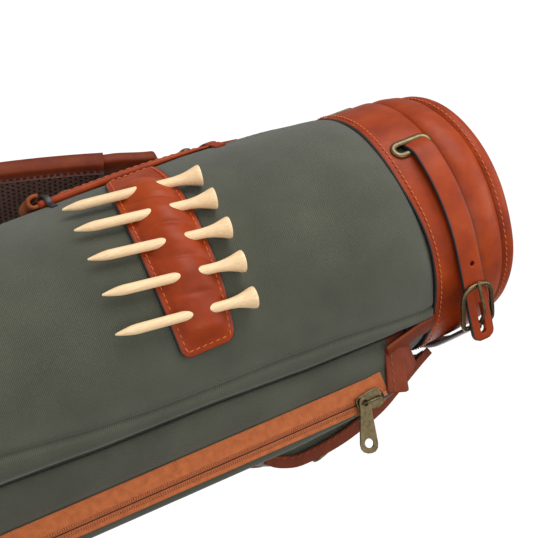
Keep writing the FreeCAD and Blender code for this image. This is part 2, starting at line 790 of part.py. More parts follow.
def ring_tab(name, bar, sign):
    """A leather tab: a plate on the tube whose end goes round the ring's bar."""
    far = bar.z + sign * 25
    near = bar.z + sign * 1.5
    low, high = tube_radius(near) + 0.8, tube_radius(min(far, size("neck_start"))) + 0.8
    corners = [(low, near), (low + 2.4, near), (high + 2.4, far), (high, far)]
    body = new_body(name)
    pad(body, "XZ_Plane", corners, 17)
    eye = cylinder(name + "_eye", 3.7, 17, Placement(bar + Vector(0, 8.5, 0), Rotation(Vector(1, 0, 0), 90)))
    hole = cylinder(name + "_hole", "ring_wire + 0.3", 30,
                    Placement(bar + Vector(0, 15, 0), Rotation(Vector(1, 0, 0), 90)))
    core = cylinder(name + "_core", tube_radius(bar.z) + 0.35, 60, turned(0, at=Vector(0, 0, bar.z - 30)))
    whole = cut(name + "_open", fuse(name + "_whole", [body, eye]), hole)
    return cut(name + "_fitted", whole, core)


def make_ring(which, sign):
    bar, wire = ring_end(sign)
    keep(d_ring("ring_" + which, bar, wire), "d_ring_" + which, strap_side())
    keep(ring_tab("tab_" + which, bar, sign), "d_ring_tab_" + which, strap_side())


def pad_end(sign):
    """The middle of the pad's end face, in the strap's own frame."""
    arc = size("strap_arc")
    return Vector(STRAP_BOW - arc + (arc ** 2 - STRAP_HALF_CHORD ** 2) ** 0.5, 0,
                  STRAP_MIDDLE + sign * STRAP_HALF_CHORD)


def hook_frame(sign):
    """The hook's frame: its Z points from the strap's pad to the ring, and X out of the tube."""
    bar, wire = ring_end(sign)
    back = (wire - pad_end(sign)).normalize()
    side = Vector(back.z * sign, 0, -back.x * sign)
    depth = back.cross(side)
    centre = wire - back * 1.5
    matrix = FreeCAD.Matrix(side.x, depth.x, back.x, centre.x,
                            side.y, depth.y, back.y, centre.y,
                            side.z, depth.z, back.z, centre.z,
                            0, 0, 0, 1)
    return strap_side() * Placement(matrix)


def on_hook(angle):
    """A point of the hook's middle line, in the hook's frame."""
    return Vector(size("hook_radius") * cos(radians(angle)), 0, size("hook_radius") * sin(radians(angle)))


def make_hook(which, sign):
    """A snap hook: an open ring, a swivel barrel and the loop for the strap, and its gate."""
    frame = hook_frame(sign)
    upright = Rotation(Vector(1, 0, 0), 90)
    hook = solid("Torus", "hook_" + which, Placement(Vector(), upright * Rotation(Vector(0, 0, 1), 80)),
                 Radius1="hook_radius", Radius2="hook_wire", Angle3=270)
    tip = solid("Sphere", "hook_tip_" + which, turned(0, at=on_hook(80)), Radius="hook_wire")
    barrel = cylinder("barrel_" + which, 3.2, 9, turned(0, at=Vector(0, 0, -16.5)))
    collar = cylinder("barrel_collar_" + which, 4.2, 2, turned(0, at=Vector(0, 0, -10.5)))
    depth = 15.0
    corners = [Vector(0, -depth, -17.5), Vector(0, depth, -17.5), Vector(0, depth, -25.5),
               Vector(0, -depth, -25.5)]
    loop = bent_wire("strap_loop_" + which, corners + [corners[0]], 1.5)
    keep(fuse("snap_hook_whole_" + which, [hook, tip, barrel, collar, loop]), "snap_hook_" + which, frame)
    gate = bent_wire("gate_pin_" + which, [on_hook(7), on_hook(50)], 1.2)
    keep(gate, "snap_gate_" + which, frame)
    make_tongue(which, frame, sign)


def make_tongue(which, frame, sign):
    """The narrow strap end, folded round the hook's loop and running to the pad."""
    bar, wire = ring_end(sign)
    end = 1.0 - (wire - pad_end(sign)).Length + 1.1
    strip = box("tongue_strip_" + which, "tongue_thick", "tongue_width", -28.0 - end, Placement(
        Vector(-size("tongue_thick") / 2, -size("tongue_width") / 2, end), Rotation()))
    turn = Rotation(Vector(1, 0, 0), 90)
    at = Vector(0, size("tongue_width") / 2, -25.5)
    fold = cylinder("tongue_fold_" + which, 4.4, "tongue_width", Placement(at, turn))
    room = cylinder("tongue_room_" + which, 1.8, "tongue_width + 4", Placement(at + Vector(0, 2, 0), turn))
    whole = cut("tongue_open_" + which, fuse("tongue_whole_" + which, [strip, fold]), room)
    keep(whole, "strap_end_" + which, frame)


def make_adjuster():
    """A brass slide buckle round the lower strap end."""
    frame = hook_frame(-1)
    half, room = size("tongue_width") / 2 + 2.4, size("tongue_thick") / 2 + 2.0
    corners = [Vector(room, -half, -44), Vector(room, half, -44), Vector(room, half, -54),
               Vector(room, -half, -54)]
    face = bent_wire("slide_face", corners + [corners[0]], 1.2)
    back = bent_wire("slide_back", [Vector(room, -half, -49), Vector(-room, -half, -49),
                                    Vector(-room, half, -49), Vector(room, half, -49)], 1.2)
    keep(fuse("slide_whole", [face, back]), "strap_slide_buckle", frame)


def make_strap():
    make_strap_pad()
    for which, sign in (("upper", 1), ("lower", -1)):
        make_ring(which, sign)
        make_hook(which, sign)
    make_adjuster()


# ---------------------------------------------------------------- check and write

def check_and_write():
    doc.recompute()
    bad = [item.Name for item in doc.Objects if "Invalid" in item.State or "Error" in item.State]
    bad += [part.Label for part in parts if part.Shape.isNull() or not part.Shape.isValid()]
    if bad:
        sys.exit("failed: " + ", ".join(bad))
    os.makedirs("parts", exist_ok=True)
    for part in parts:
        part.Shape.exportStep("parts/%s.step" % part.Label)


fill_sheet()
make_tube()
make_base()
make_stays()
make_collar()
make_divider()
make_belt()
for number in range(TEE_COUNT):
    make_tee(number)
make_tee_holder()
make_main_pocket()
make_pouch()
make_handle()
make_strap()
check_and_write()
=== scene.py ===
from math import asin, atan2, cos, degrees, exp, pi, radians, sin, sqrt

import bmesh
import bpy
from mathutils import Matrix, Vector, noise


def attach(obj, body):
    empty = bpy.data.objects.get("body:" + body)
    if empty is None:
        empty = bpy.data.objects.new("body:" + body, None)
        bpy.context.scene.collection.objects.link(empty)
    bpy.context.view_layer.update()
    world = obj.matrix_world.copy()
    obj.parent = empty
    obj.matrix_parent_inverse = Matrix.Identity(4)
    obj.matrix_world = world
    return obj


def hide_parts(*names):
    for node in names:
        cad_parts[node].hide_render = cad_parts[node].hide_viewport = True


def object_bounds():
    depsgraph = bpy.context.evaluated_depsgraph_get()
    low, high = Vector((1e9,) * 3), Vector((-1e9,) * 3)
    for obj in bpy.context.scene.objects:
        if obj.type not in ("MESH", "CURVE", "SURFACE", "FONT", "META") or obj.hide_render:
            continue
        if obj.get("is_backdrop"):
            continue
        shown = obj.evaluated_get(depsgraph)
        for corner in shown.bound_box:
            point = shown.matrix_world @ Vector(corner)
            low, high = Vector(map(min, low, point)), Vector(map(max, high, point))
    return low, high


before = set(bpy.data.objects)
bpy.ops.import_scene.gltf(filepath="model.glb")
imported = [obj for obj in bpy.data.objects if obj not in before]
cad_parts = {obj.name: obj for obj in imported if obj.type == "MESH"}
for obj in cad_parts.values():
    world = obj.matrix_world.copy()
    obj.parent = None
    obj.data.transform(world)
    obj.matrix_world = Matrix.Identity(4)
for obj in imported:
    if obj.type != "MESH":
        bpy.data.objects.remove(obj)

# A slim golf carry bag.  Lengths here are millimetres, turned into metres when a mesh is made.
# +Z runs from the base to the mouth.  Angles round the tube are degrees from -Y towards +X.

MM = 0.001
X, Y, Z = Vector((1, 0, 0)), Vector((0, 1, 0)), Vector((0, 0, 1))
cad_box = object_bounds()

# ---------------------------------------------------------------- driving sizes

TUBE = [(71.8, 4), (72.2, 150), (72.6, 300), (74.2, 480), (76.0, 655), (76.0, 740), (73.4, 790),
        (70.6, 812), (69.4, 819), (68.2, 821.6), (66.4, 824.5), (66.1, 846)]
COLLAR_FOOT = 823.0
BAND_RADIUS = 69.2
BELT_HEIGHT = 844.0
BELT_RADIUS = 71.9
BELT_WIDTH = 13.6
BELT_THICK = 2.4
EYELET_HEIGHT = 840.5
EYELET_ANGLES = (-29.0, -98.0)
BEND_ANGLE = 22.0
FREE_ALONG = 20.0
BAR_ALONG = 44.0
TONGUE_END = 51.6
JOIN_ANGLE = 83.0
WIRE = 1.3
TEE_COUNT = 5
POCKET_HALF = 47.0
ZIP_LENGTH = 392.0
TAB_LEAN = 0.3
TAB_TURN = -3.7
STRAP_TURN = radians(148)
STRAP_ARC = 560.0
STRAP_MIDDLE = 503.0
STRAP_BOW = 129.0
STRAP_HALF_CHORD = 205.0
RING_BAR = 77.6
RING_DROP = 287.0

# The soft line where the side panel ends, and the crease where the pocket begins: height, angle.
FOLD = [(372, 36), (430, 30), (500, 24), (586, 22), (624, 26.5), (657, 29.5), (690, 31), (730, 32),
        (762, 34.5), (783, 37), (800, 40), (822, 44)]
CREASE = [(372, 48), (430, 42), (500, 37), (582, 35), (628, 38), (686, 40), (730, 43), (767, 46),
          (799, 48.8), (822, 53)]


# ---------------------------------------------------------------- small geometry helpers

def around(radius, angle, height):
    """A point by its distance from the bag's axis, its angle round it and its height."""
    return Vector((radius * sin(radians(angle)), -radius * cos(radians(angle)), height))


def table(rows, height):
    """Read a (height, value) table, in straight lines between its rows."""
    if height <= rows[0][0]:
        return rows[0][1]
    for (low, a), (high, b) in zip(rows, rows[1:]):
        if height <= high:
            share = (height - low) / (high - low)
            return a + (b - a) * share
    return rows[-1][1]


def ease(value):
    """Hold a value to 0 to 1 and smooth its ends."""
    value = min(1.0, max(0.0, value))
    return value * value * (3 - 2 * value)


def hump(value, width):
    return exp(-(value / width) ** 2)


def tube_radius(height):
    return table([(z, r) for r, z in TUBE], height)


def wobble(point, scale, seed=0.0):
    """A smooth pseudo-random number near -0.5 to 0.5 at a point; scale is the bumps' size in mm."""
    return noise.noise(point / scale + Vector((seed, seed * 0.7, -seed)))


def smooth_line(corners, step, closed=False):
    """Points about a step apart along a smooth line through the corners."""
    if closed:
        ends = [corners[-1]] + list(corners) + [corners[0], corners[1]]
    else:
        ends = [corners[0] * 2 - corners[1]] + list(corners) + [corners[-1] * 2 - corners[-2]]
    line = []
    for a, b, c, d in zip(ends, ends[1:], ends[2:], ends[3:]):
        count = max(1, round((c - b).length / step))
        for i in range(count):
            t = i / count
            line.append(0.5 * (2 * b + (c - a) * t + (2 * a - 5 * b + 4 * c - d) * t ** 2
                               + (3 * b - a - 3 * c + d) * t ** 3))
    return line if closed else line + [corners[-1].copy()]


def axes(origin, across, along):
    """A local frame: X across, Z along, Y inward, as a matrix that turns local mm into the row's."""
    across, along = across.normalized(), along.normalized()
    turn = Matrix((across, along.cross(across), along)).transposed().to_4x4()
    turn.translation = origin
    return turn


def outward(point):
    return Vector((point.x, point.y, 0)).normalized()


# ---------------------------------------------------------------- pieces

def make_piece(name, points, faces, looks, finishes=None, weave=None, flat_caps=0, **place):
    """A mesh piece from points in mm.  weave gives each point its place on the flat cloth, in mm."""
    mesh = bpy.data.meshes.new(name)
    mesh.from_pydata([p * MM for p in points], [], faces)
    for look in looks:
        mesh.materials.append(look)
    mesh.polygons.foreach_set("use_smooth", [i < len(faces) - flat_caps for i in range(len(faces))])
    if finishes:
        mesh.polygons.foreach_set("material_index", finishes)
    if weave:
        layer = mesh.uv_layers.new(name="weave")
        for loop in mesh.loops:
            layer.data[loop.index].uv = weave[loop.vertex_index]
    mesh.update()
    piece = bpy.data.objects.new(name, mesh)
    bpy.context.scene.collection.objects.link(piece)
    return settle(piece, **place)


def settle(piece, body="bag", stands_for=(), slot="canvas"):
    """Attach a piece to its body and hide the CAD nodes that it stands for; slot is not used."""
    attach(piece, body)
    if stands_for:
        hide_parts(*stands_for)
    return piece


def face_outwards(piece):
    shape = bmesh.new()
    shape.from_mesh(piece.data)
    bmesh.ops.recalc_face_normals(shape, faces=shape.faces)
    shape.to_mesh(piece.data)
    shape.free()
    return piece


def apply_modifiers(piece):
    """Replace a piece's mesh by its mesh with the modifiers worked in."""
    bpy.context.view_layer.update()
    done = bpy.data.meshes.new_from_object(
        piece.evaluated_get(bpy.context.evaluated_depsgraph_get()))
    piece.modifiers.clear()
    piece.data = done
    return piece


def thicken(piece, thickness, offset=-1.0):
    modifier = piece.modifiers.new("thickness", "SOLIDIFY")
    modifier.thickness = thickness * MM
    modifier.offset = offset
    return piece


def grid(name, rows, looks, wrap=False, finish=None, weave=None, **place):
    """A sheet from rows of points, each row the same length.  wrap joins a row's ends."""
    width = len(rows[0])
    points = [p for row in rows for p in row]
    faces, finishes = [], []
    for i in range(len(rows) - 1):
        for j in range(width if wrap else width - 1):
            k = (j + 1) % width
            faces.append((i * width + j, i * width + k, (i + 1) * width + k, (i + 1) * width + j))
            finishes.append(finish(i, j) if finish else 0)
    flat = [uv for row in weave for uv in row] if weave else None
    return make_piece(name, points, faces, looks, finishes, flat, **place)


def stations(line, out, closed=False, share=None):
    """Where an outline goes along a line: its place, across and outward directions, and width."""
    count = len(line)
    result = []
    for i, point in enumerate(line):
        before = line[i - 1] if i or closed else point
        after = line[(i + 1) % count] if i + 1 < count or closed else point
        along = (after - before).normalized()
        up = out(point) if callable(out) else out
        across = along.cross(up).normalized()
        result.append((point, across, across.cross(along), share(i / (count - 1)) if share else 1.0))
    return result


def level_stations(line, across, closed=False):
    """Like stations, for a strap whose across direction stays the same while its face turns."""
    count = len(line)
    result = []
    for i, point in enumerate(line):
        before = line[i - 1] if i or closed else point
        after = line[(i + 1) % count] if i + 1 < count or closed else point
        result.append((point, across, (after - before).normalized().cross(across).normalized(), 1.0))
    return result


def sweep(name, stops, outline, looks, closed=False, lift=None, **place):
    """Draw an outline along stations.  Each outline point is across, out, and its side's finish."""
    points, weave, faces, finishes = [], [], [], []
    travelled = 0.0
    size = len(outline)
    for i, (at, across, out, share) in enumerate(stops):
        if i:
            travelled += (at - stops[i - 1][0]).length
        for a, b, _ in outline:
            rise = lift(travelled, a, b) if lift else 0.0
            points.append(at + across * (a * share) + out * (b + rise))
            weave.append((a + b, travelled))
    runs = len(stops) if closed else len(stops) - 1
    for i in range(runs):
        here, there = i * size, (i + 1) % len(stops) * size
        for j in range(size):
            k = (j + 1) % size
            faces.append((here + j, here + k, there + k, there + j))
            finishes.append(outline[j][2])
    if not closed:
        faces += [tuple(range(size)), tuple(range(len(points) - size, len(points)))]
        finishes += [outline[-1][2]] * 2
    piece = make_piece(name, points, faces, looks, finishes, weave,
                       flat_caps=0 if closed else 2, **place)
    return face_outwards(piece)


def strap_outline(width, thick, crown=0.0, count=10, edge=0.0):
    """A strap's outline: a slightly crowned face and a flat back, finish 0, with edges, finish 1."""
    half = width / 2
    edge = edge or min(thick * 0.42, 0.8)
    flat = half - edge * 0.8
    marks = [2 * i / count - 1 for i in range(count + 1)]
    face = [(flat * m, thick / 2 + crown * (1 - m * m), 0) for m in marks]
    face[-1] = face[-1][:2] + (1,)
    back = [(-flat * m, -thick / 2, 0) for m in marks]
    back[-1] = back[-1][:2] + (1,)
    right = [(half - edge * 0.2, thick / 2 - edge * 0.3, 1), (half, thick / 2 - edge, 1),
             (half, edge - thick / 2, 1), (half - edge * 0.2, edge * 0.3 - thick / 2, 1)]
    left = [(-a, -b, 1) for a, b, _ in right]
    return face + right + back + left


def round_outline(radius, count=12, squash=1.0, finish=0):
    return [(radius * cos(2 * pi * i / count), squash * radius * sin(2 * pi * i / count), finish)
            for i in range(count)]


def end_steps(line, radius, steps=5):
    """Add close steps near both ends of a line, so that rounded corners come out round."""
    def crowd(points):
        first, after = points[0], points[1:]
        while len(after) > 1 and (after[0] - first).length < radius:
            after = after[1:]
        gap = after[0] - first
        marks = [(i / steps) ** 2 for i in range(steps)]
        return [first + gap * m for m in marks] + after
    return crowd(crowd(line)[::-1])[::-1]


def lathe(name, profile, origin, axis, looks, sides=36, closed=False, **place):
    """Turn a profile of (radius, height) in mm round an axis through an origin."""
    axis = axis.normalized()
    side = axis.orthogonal().normalized()
    other = axis.cross(side)
    rows = [[origin + axis * h + (side * cos(2 * pi * i / sides) + other * sin(2 * pi * i / sides)) * r
             for i in range(sides)] for r, h in profile]
    if closed:
        rows.append(rows[0])
    weave = [[(2 * pi * r * i / sides, h) for i in range(sides)]
             for r, h in (profile + profile[:1] if closed else profile)]
    piece = grid(name, rows, looks, wrap=True, weave=weave, **place)
    weld(piece)
    return face_outwards(piece)


def weld(piece, distance=0.002):
    shape = bmesh.new()
    shape.from_mesh(piece.data)
    bmesh.ops.remove_doubles(shape, verts=shape.verts, dist=distance * MM)
    shape.to_mesh(piece.data)
    shape.free()


def smooth_profile(corners, step=0.7):
    """A smooth closed or open (radius, height) profile through its corners."""
    line = smooth_line([Vector((r, h, 0)) for r, h in corners], step)
    return [(p.x, p.y) for p in line]


def cut_away(piece, tool):
    """Cut a tool's shape out of a piece and drop the tool."""
    modifier = piece.modifiers.new("cut", "BOOLEAN")
    modifier.operation = "DIFFERENCE"
    modifier.solver = "EXACT"
    modifier.object = tool
    apply_modifiers(piece)
    bpy.data.objects.remove(tool)
    return piece


def stadium_tool(length, width, depth, place):
    """A slot-shaped cutter: long along its own Z, deep along its Y."""
    points, count = [], 12
    for y in (-depth / 2, depth / 2):
        for sign in (1, -1):
            for i in range(count + 1):
                turn = pi * i / count
                points.append(place @ Vector((sign * width / 2 * cos(turn), y,
                                              sign * ((length - width) / 2 + width / 2 * sin(turn)))))
    ring = 2 * (count + 1)
    faces = [tuple(range(ring)), tuple(range(ring, 2 * ring))]
    faces += [(i, (i + 1) % ring, ring + (i + 1) % ring, ring + i) for i in range(ring)]
    mesh = bpy.data.meshes.new("cutter")
    mesh.from_pydata([p * MM for p in points], [], faces)
    tool = bpy.data.objects.new("cutter", mesh)
    bpy.context.scene.collection.objects.link(tool)
    return face_outwards(tool)


def plate(name, outer, holes, thick, bevel, place, looks, **settled):
    """A flat plate with rounded edges from outlines of (x, z) in the place's own frame."""
    curve = bpy.data.curves.new(name, "CURVE")
    curve.dimensions = "2D"
    curve.fill_mode = "BOTH"
    curve.extrude = (thick / 2 - bevel) * MM
    curve.bevel_depth = bevel * MM
    curve.bevel_resolution = 2
    for outline in [outer] + holes:
        spline = curve.splines.new("POLY")
        spline.points.add(len(outline) - 1)
        spline.use_cyclic_u = True
        for point, (x, z) in zip(spline.points, outline):
            point.co = (x * MM, z * MM, 0, 1)
    holder = bpy.data.objects.new(name + "_outline", curve)
    bpy.context.scene.collection.objects.link(holder)
    bpy.context.view_layer.update()
    mesh = bpy.data.meshes.new_from_object(
        holder.evaluated_get(bpy.context.evaluated_depsgraph_get()))
    bpy.data.objects.remove(holder)
    stand = place.copy()
    stand.translation = place.translation * MM
    mesh.transform(stand @ Matrix.Rotation(radians(90), 4, "X"))
    mesh.materials.clear()
    for look in looks:
        mesh.materials.append(look)
    piece = bpy.data.objects.new(name, mesh)
    bpy.context.scene.collection.objects.link(piece)
    return settle(face_outwards(piece), **settled)


def stitches(name, seams, look, length=2.6, gap=1.0, thread=0.36, slant=0.0, zigzag=False, **place):
    """Thread laid along seams, each a line and its outward directions.  Ends sink into the cloth."""
    points, faces = [], []
    sides = 6
    shape = [(-0.5, 0.35, -0.6), (-0.38, 0.85, 0.1), (-0.15, 1.0, 0.55), (0.15, 1.0, 0.55),
             (0.38, 0.85, 0.1), (0.5, 0.35, -0.6)]
    for line, outs in seams:
        pitch, due, number = length + gap, (length + gap) / 2, 0
        for a, b, out in zip(line, line[1:], outs):
            run = (b - a).length
            while due <= run and run > 1e-6:
                middle = a.lerp(b, due / run)
                turn = radians(slant * (-1 if zigzag and number % 2 else 1))
                along = Matrix.Rotation(turn, 3, out) @ (b - a).normalized()
                across = along.cross(out).normalized()
                first = len(points)
                for where, wide, high in shape:
                    centre = middle + along * (length * where) + out * (thread * high)
                    points += [centre + (across * cos(2 * pi * i / sides) + out * sin(2 * pi * i / sides))
                               * (thread * wide) for i in range(sides)]
                for ring in range(len(shape) - 1):
                    base = first + ring * sides
                    faces += [(base + i, base + (i + 1) % sides, base + sides + (i + 1) % sides,
                               base + sides + i) for i in range(sides)]
                due += pitch
                number += 1
            due -= run
    return face_outwards(make_piece(name, points, faces, [look], **place))


def seam(line, out, rise=0.0):
    """A line of stitches: its points, raised a little, and the outward direction at each."""
    outs = [out(p) if callable(out) else out for p in line]
    return [p + o * rise for p, o in zip(line, outs)], outs


# ---------------------------------------------------------------- materials

def paint(red, green, blue):
    """A colour from 0-255 screen values, in linear light."""
    return tuple(((c / 255 + 0.055) / 1.055) ** 2.4 if c > 10 else c / 255 / 12.92
                 for c in (red, green, blue)) + (1.0,)


def add(tree, kind, *settings, **inputs):
    """A node with its own settings, and its inputs given by name as values or as other sockets."""
    node = tree.nodes.new("ShaderNode" + kind)
    for name, value in settings:
        setattr(node, name, value)
    for name, value in inputs.items():
        socket = node.inputs[int(name[1:])] if name[1:].isdigit() else node.inputs[name.replace("_", " ")]
        if isinstance(value, bpy.types.NodeSocket):
            tree.links.new(value, socket)
        else:
            socket.default_value = value
    return node


def ramp(tree, factor, stops):
    """A colour ramp on a factor, from (position, colour) stops."""
    node = add(tree, "ValToRGB", Fac=factor)
    while len(node.color_ramp.elements) < len(stops):
        node.color_ramp.elements.new(0.5)
    for element, (position, colour) in zip(node.color_ramp.elements, stops):
        element.position = position
        element.color = colour
    return node.outputs["Color"]


def new_material(name, **constants):
    """A material with its main shader, and fixed values set on the shader's own sockets."""
    material = bpy.data.materials.new(name)
    material.use_nodes = True
    tree = material.node_tree
    shader = tree.nodes["Principled BSDF"]
    for key, value in constants.items():
        shader.inputs[key.replace("_", " ")].default_value = value
    return material, tree, shader


def object_place(tree, scale=(1000, 1000, 1000)):
    """The point's place in mm, stretched by a scale."""
    spot = add(tree, "TexCoord").outputs["Object"]
    return add(tree, "Mapping", Vector=spot, Scale=scale).outputs["Vector"]


def cloth_place(tree):
    return add(tree, "UVMap", ("uv_map", "weave")).outputs["UV"]


def set_bump(tree, shader, height, strength, distance):
    bump = add(tree, "Bump", Height=height, Strength=strength, Distance=distance * MM)
    tree.links.new(bump.outputs["Normal"], shader.inputs["Normal"])


def make_canvas(name, dark, middle, light, pitch=0.85, depth=0.16, rough=0.85):
    """Twill cloth: diagonal ribs broken up by the yarns that cross them, with slow mottling."""
    material, tree, shader = new_material(name, Roughness=rough, Sheen_Weight=0.18,
                                          Sheen_Roughness=0.5)
    shader.inputs["Specular IOR Level"].default_value = 0.25
    cloth = cloth_place(tree)
    ribs = add(tree, "TexWave", ("wave_type", "BANDS"), ("bands_direction", "DIAGONAL"), Vector=cloth,
               Scale=0.628 / (pitch * 1.414), Distortion=0.25, Detail=1.0, Detail_Scale=0.4)
    yarns = add(tree, "TexWave", ("wave_type", "BANDS"), ("bands_direction", "X"), Vector=cloth,
                Scale=0.628 / (pitch * 0.8))
    weave = add(tree, "Math", ("operation", "MULTIPLY_ADD"), _0=yarns.outputs["Fac"], _1=0.3,
                _2=ribs.outputs["Fac"])
    slow = add(tree, "TexNoise", Vector=object_place(tree), Scale=0.03, Detail=3.0)
    fine = add(tree, "TexNoise", Vector=object_place(tree), Scale=1.6, Detail=2.0)
    mixed = add(tree, "Math", ("operation", "MULTIPLY_ADD"), _0=slow.outputs["Fac"], _1=0.45,
                _2=add(tree, "Math", ("operation", "MULTIPLY_ADD"), _0=weave.outputs[0], _1=0.26,
                       _2=add(tree, "Math", ("operation", "MULTIPLY"), _0=fine.outputs["Fac"],
                              _1=0.3).outputs[0]).outputs[0])
    colour = ramp(tree, mixed.outputs[0], [(0.3, dark), (0.55, middle), (0.8, light)])
    tree.links.new(colour, shader.inputs["Base Color"])
    set_bump(tree, shader, weave.outputs[0], 0.55, depth)
    return material


def make_leather(name, dark, middle, light, rough, grain, depth):
    """Leather: cloudy dye, fine pebble grain, and gloss that follows the dye a little."""
    material, tree, shader = new_material(name)
    shader.inputs["Specular IOR Level"].default_value = 0.22
    place = object_place(tree)
    cloud = add(tree, "TexNoise", Vector=place, Scale=0.045, Detail=5.0, Roughness=0.6)
    colour = ramp(tree, cloud.outputs["Fac"], [(0.28, dark), (0.5, middle), (0.74, light)])
    tree.links.new(colour, shader.inputs["Base Color"])
    pebbles = add(tree, "TexVoronoi", ("feature", "SMOOTH_F1"), Vector=place, Scale=1 / grain)
    pores = add(tree, "TexNoise", Vector=place, Scale=2.2 / grain, Detail=4.0)
    skin = add(tree, "Math", ("operation", "MULTIPLY_ADD"), _0=pores.outputs["Fac"], _1=0.6,
               _2=pebbles.outputs["Distance"])
    set_bump(tree, shader, skin.outputs[0], 0.5, depth)
    gloss = add(tree, "MapRange", Value=cloud.outputs["Fac"], _1=0.3, _2=0.7, _3=rough + 0.07,
                _4=rough - 0.05)
    tree.links.new(gloss.outputs[0], shader.inputs["Roughness"])
    return material


def make_speckled(name, dark, light, rough, scale=1.0, depth=0.05, stretch=(1, 1, 1), **constants):
    """A plain material whose colour and surface change a little from place to place."""
    material, tree, shader = new_material(name, Roughness=rough, **constants)
    place = object_place(tree, tuple(1000 * s for s in stretch))
    speck = add(tree, "TexNoise", Vector=place, Scale=scale, Detail=6.0, Roughness=0.6)
    colour = ramp(tree, speck.outputs["Fac"], [(0.3, dark), (0.7, light)])
    tree.links.new(colour, shader.inputs["Base Color"])
    set_bump(tree, shader, speck.outputs["Fac"], 0.4, depth)
    return material


def make_tape(name, dark, light):
    """Zipper tape: fine ribs across its length."""
    material, tree, shader = new_material(name, Roughness=0.75, Sheen_Weight=0.1)
    shader.inputs["Specular IOR Level"].default_value = 0.3
    ribs = add(tree, "TexWave", ("wave_type", "BANDS"), ("bands_direction", "Y"),
               Vector=cloth_place(tree), Scale=0.628 / 0.9, Distortion=0.4, Detail_Scale=0.5)
    speck = add(tree, "TexNoise", Vector=object_place(tree), Scale=0.25, Detail=3.0)
    mixed = add(tree, "Math", ("operation", "MULTIPLY_ADD"), _0=ribs.outputs["Fac"], _1=0.3,
                _2=speck.outputs["Fac"])
    tree.links.new(ramp(tree, mixed.outputs[0], [(0.35, dark), (0.85, light)]),
                   shader.inputs["Base Color"])
    set_bump(tree, shader, ribs.outputs["Fac"], 0.5, 0.12)
    return material


CANVAS = make_canvas("olive_twill", paint(54, 56, 46), paint(70, 72, 60), paint(86, 87, 74))
LINING = make_canvas("lining_cloth", paint(44, 40, 36), paint(62, 57, 50), paint(80, 74, 66),
                     pitch=0.9, depth=0.1, rough=0.7)
TAN = make_leather("tan_leather", paint(122, 40, 6), paint(144, 51, 9), paint(162, 66, 19),
                   0.45, 0.9, 0.04)
BROWN = make_leather("brown_leather", paint(88, 32, 11), paint(108, 42, 15), paint(124, 54, 22),
                     0.56, 0.8, 0.06)
HAIRY = make_leather("raw_leather", paint(116, 56, 28), paint(156, 86, 48), paint(188, 122, 78),
                     0.9, 0.5, 0.2)
EDGE = make_speckled("edge_paint", paint(20, 19, 24), paint(38, 34, 38), 0.42, 0.8, 0.04)
THREAD = make_speckled("orange_thread", paint(176, 78, 34), paint(214, 112, 58), 0.7, 2.5, 0.1)
DARK_THREAD = make_speckled("brown_thread", paint(112, 50, 26), paint(150, 72, 40), 0.75, 2.5, 0.1)
GREEN_THREAD = make_speckled("olive_thread", paint(62, 66, 55), paint(92, 96, 82), 0.8, 2.5, 0.1)
WHIP = make_speckled("whip_thread", paint(160, 84, 42), paint(190, 108, 60), 0.75, 2.0, 0.05)
TAPE = make_tape("zip_tape", paint(146, 72, 32), paint(178, 98, 50))
COIL = make_speckled("zip_coil", paint(140, 70, 34), paint(178, 100, 56), 0.5, 2.0, 0.05)
# Painted shade: the slit between the zipper coils is drawn as a dark strip, standing for the shade in the
# gap.
GAP_SHADE = make_speckled("zip_gap_painted_shade", paint(48, 24, 14), paint(70, 36, 20), 0.8, 1.0, 0.05)
BRASS = make_speckled("antique_brass", paint(86, 76, 53), paint(120, 106, 78), 0.36, 0.5, 0.012,
                      Metallic=1.0)
WOOD = make_speckled("tee_wood", paint(222, 186, 140), paint(240, 210, 168), 0.5, 1.2, 0.03,
                     stretch=(1, 1, 0.06))
MESH = make_speckled("spacer_yarn", paint(74, 46, 36), paint(112, 74, 60), 0.8, 1.5, 0.08,
                     Sheen_Weight=0.2)
FOAM = make_speckled("dark_backing", paint(24, 17, 15), paint(40, 28, 24), 0.9, 0.8, 0.08)
RUBBER = make_speckled("sole_rubber", paint(30, 30, 31), paint(52, 51, 50), 0.7, 1.2, 0.1)
BOARD = make_speckled("board_plastic", paint(52, 52, 50), paint(74, 73, 70), 0.5, 0.6, 0.04)
STEEL = make_speckled("spring_steel", paint(130, 130, 132), paint(176, 176, 178), 0.3, 0.5, 0.02,
                      Metallic=1.0)
ROD = make_speckled("stay_rod", paint(150, 148, 138), paint(190, 188, 176), 0.5, 0.4, 0.03,
                    stretch=(1, 1, 0.05))


# ---------------------------------------------------------------- camera, floor and light

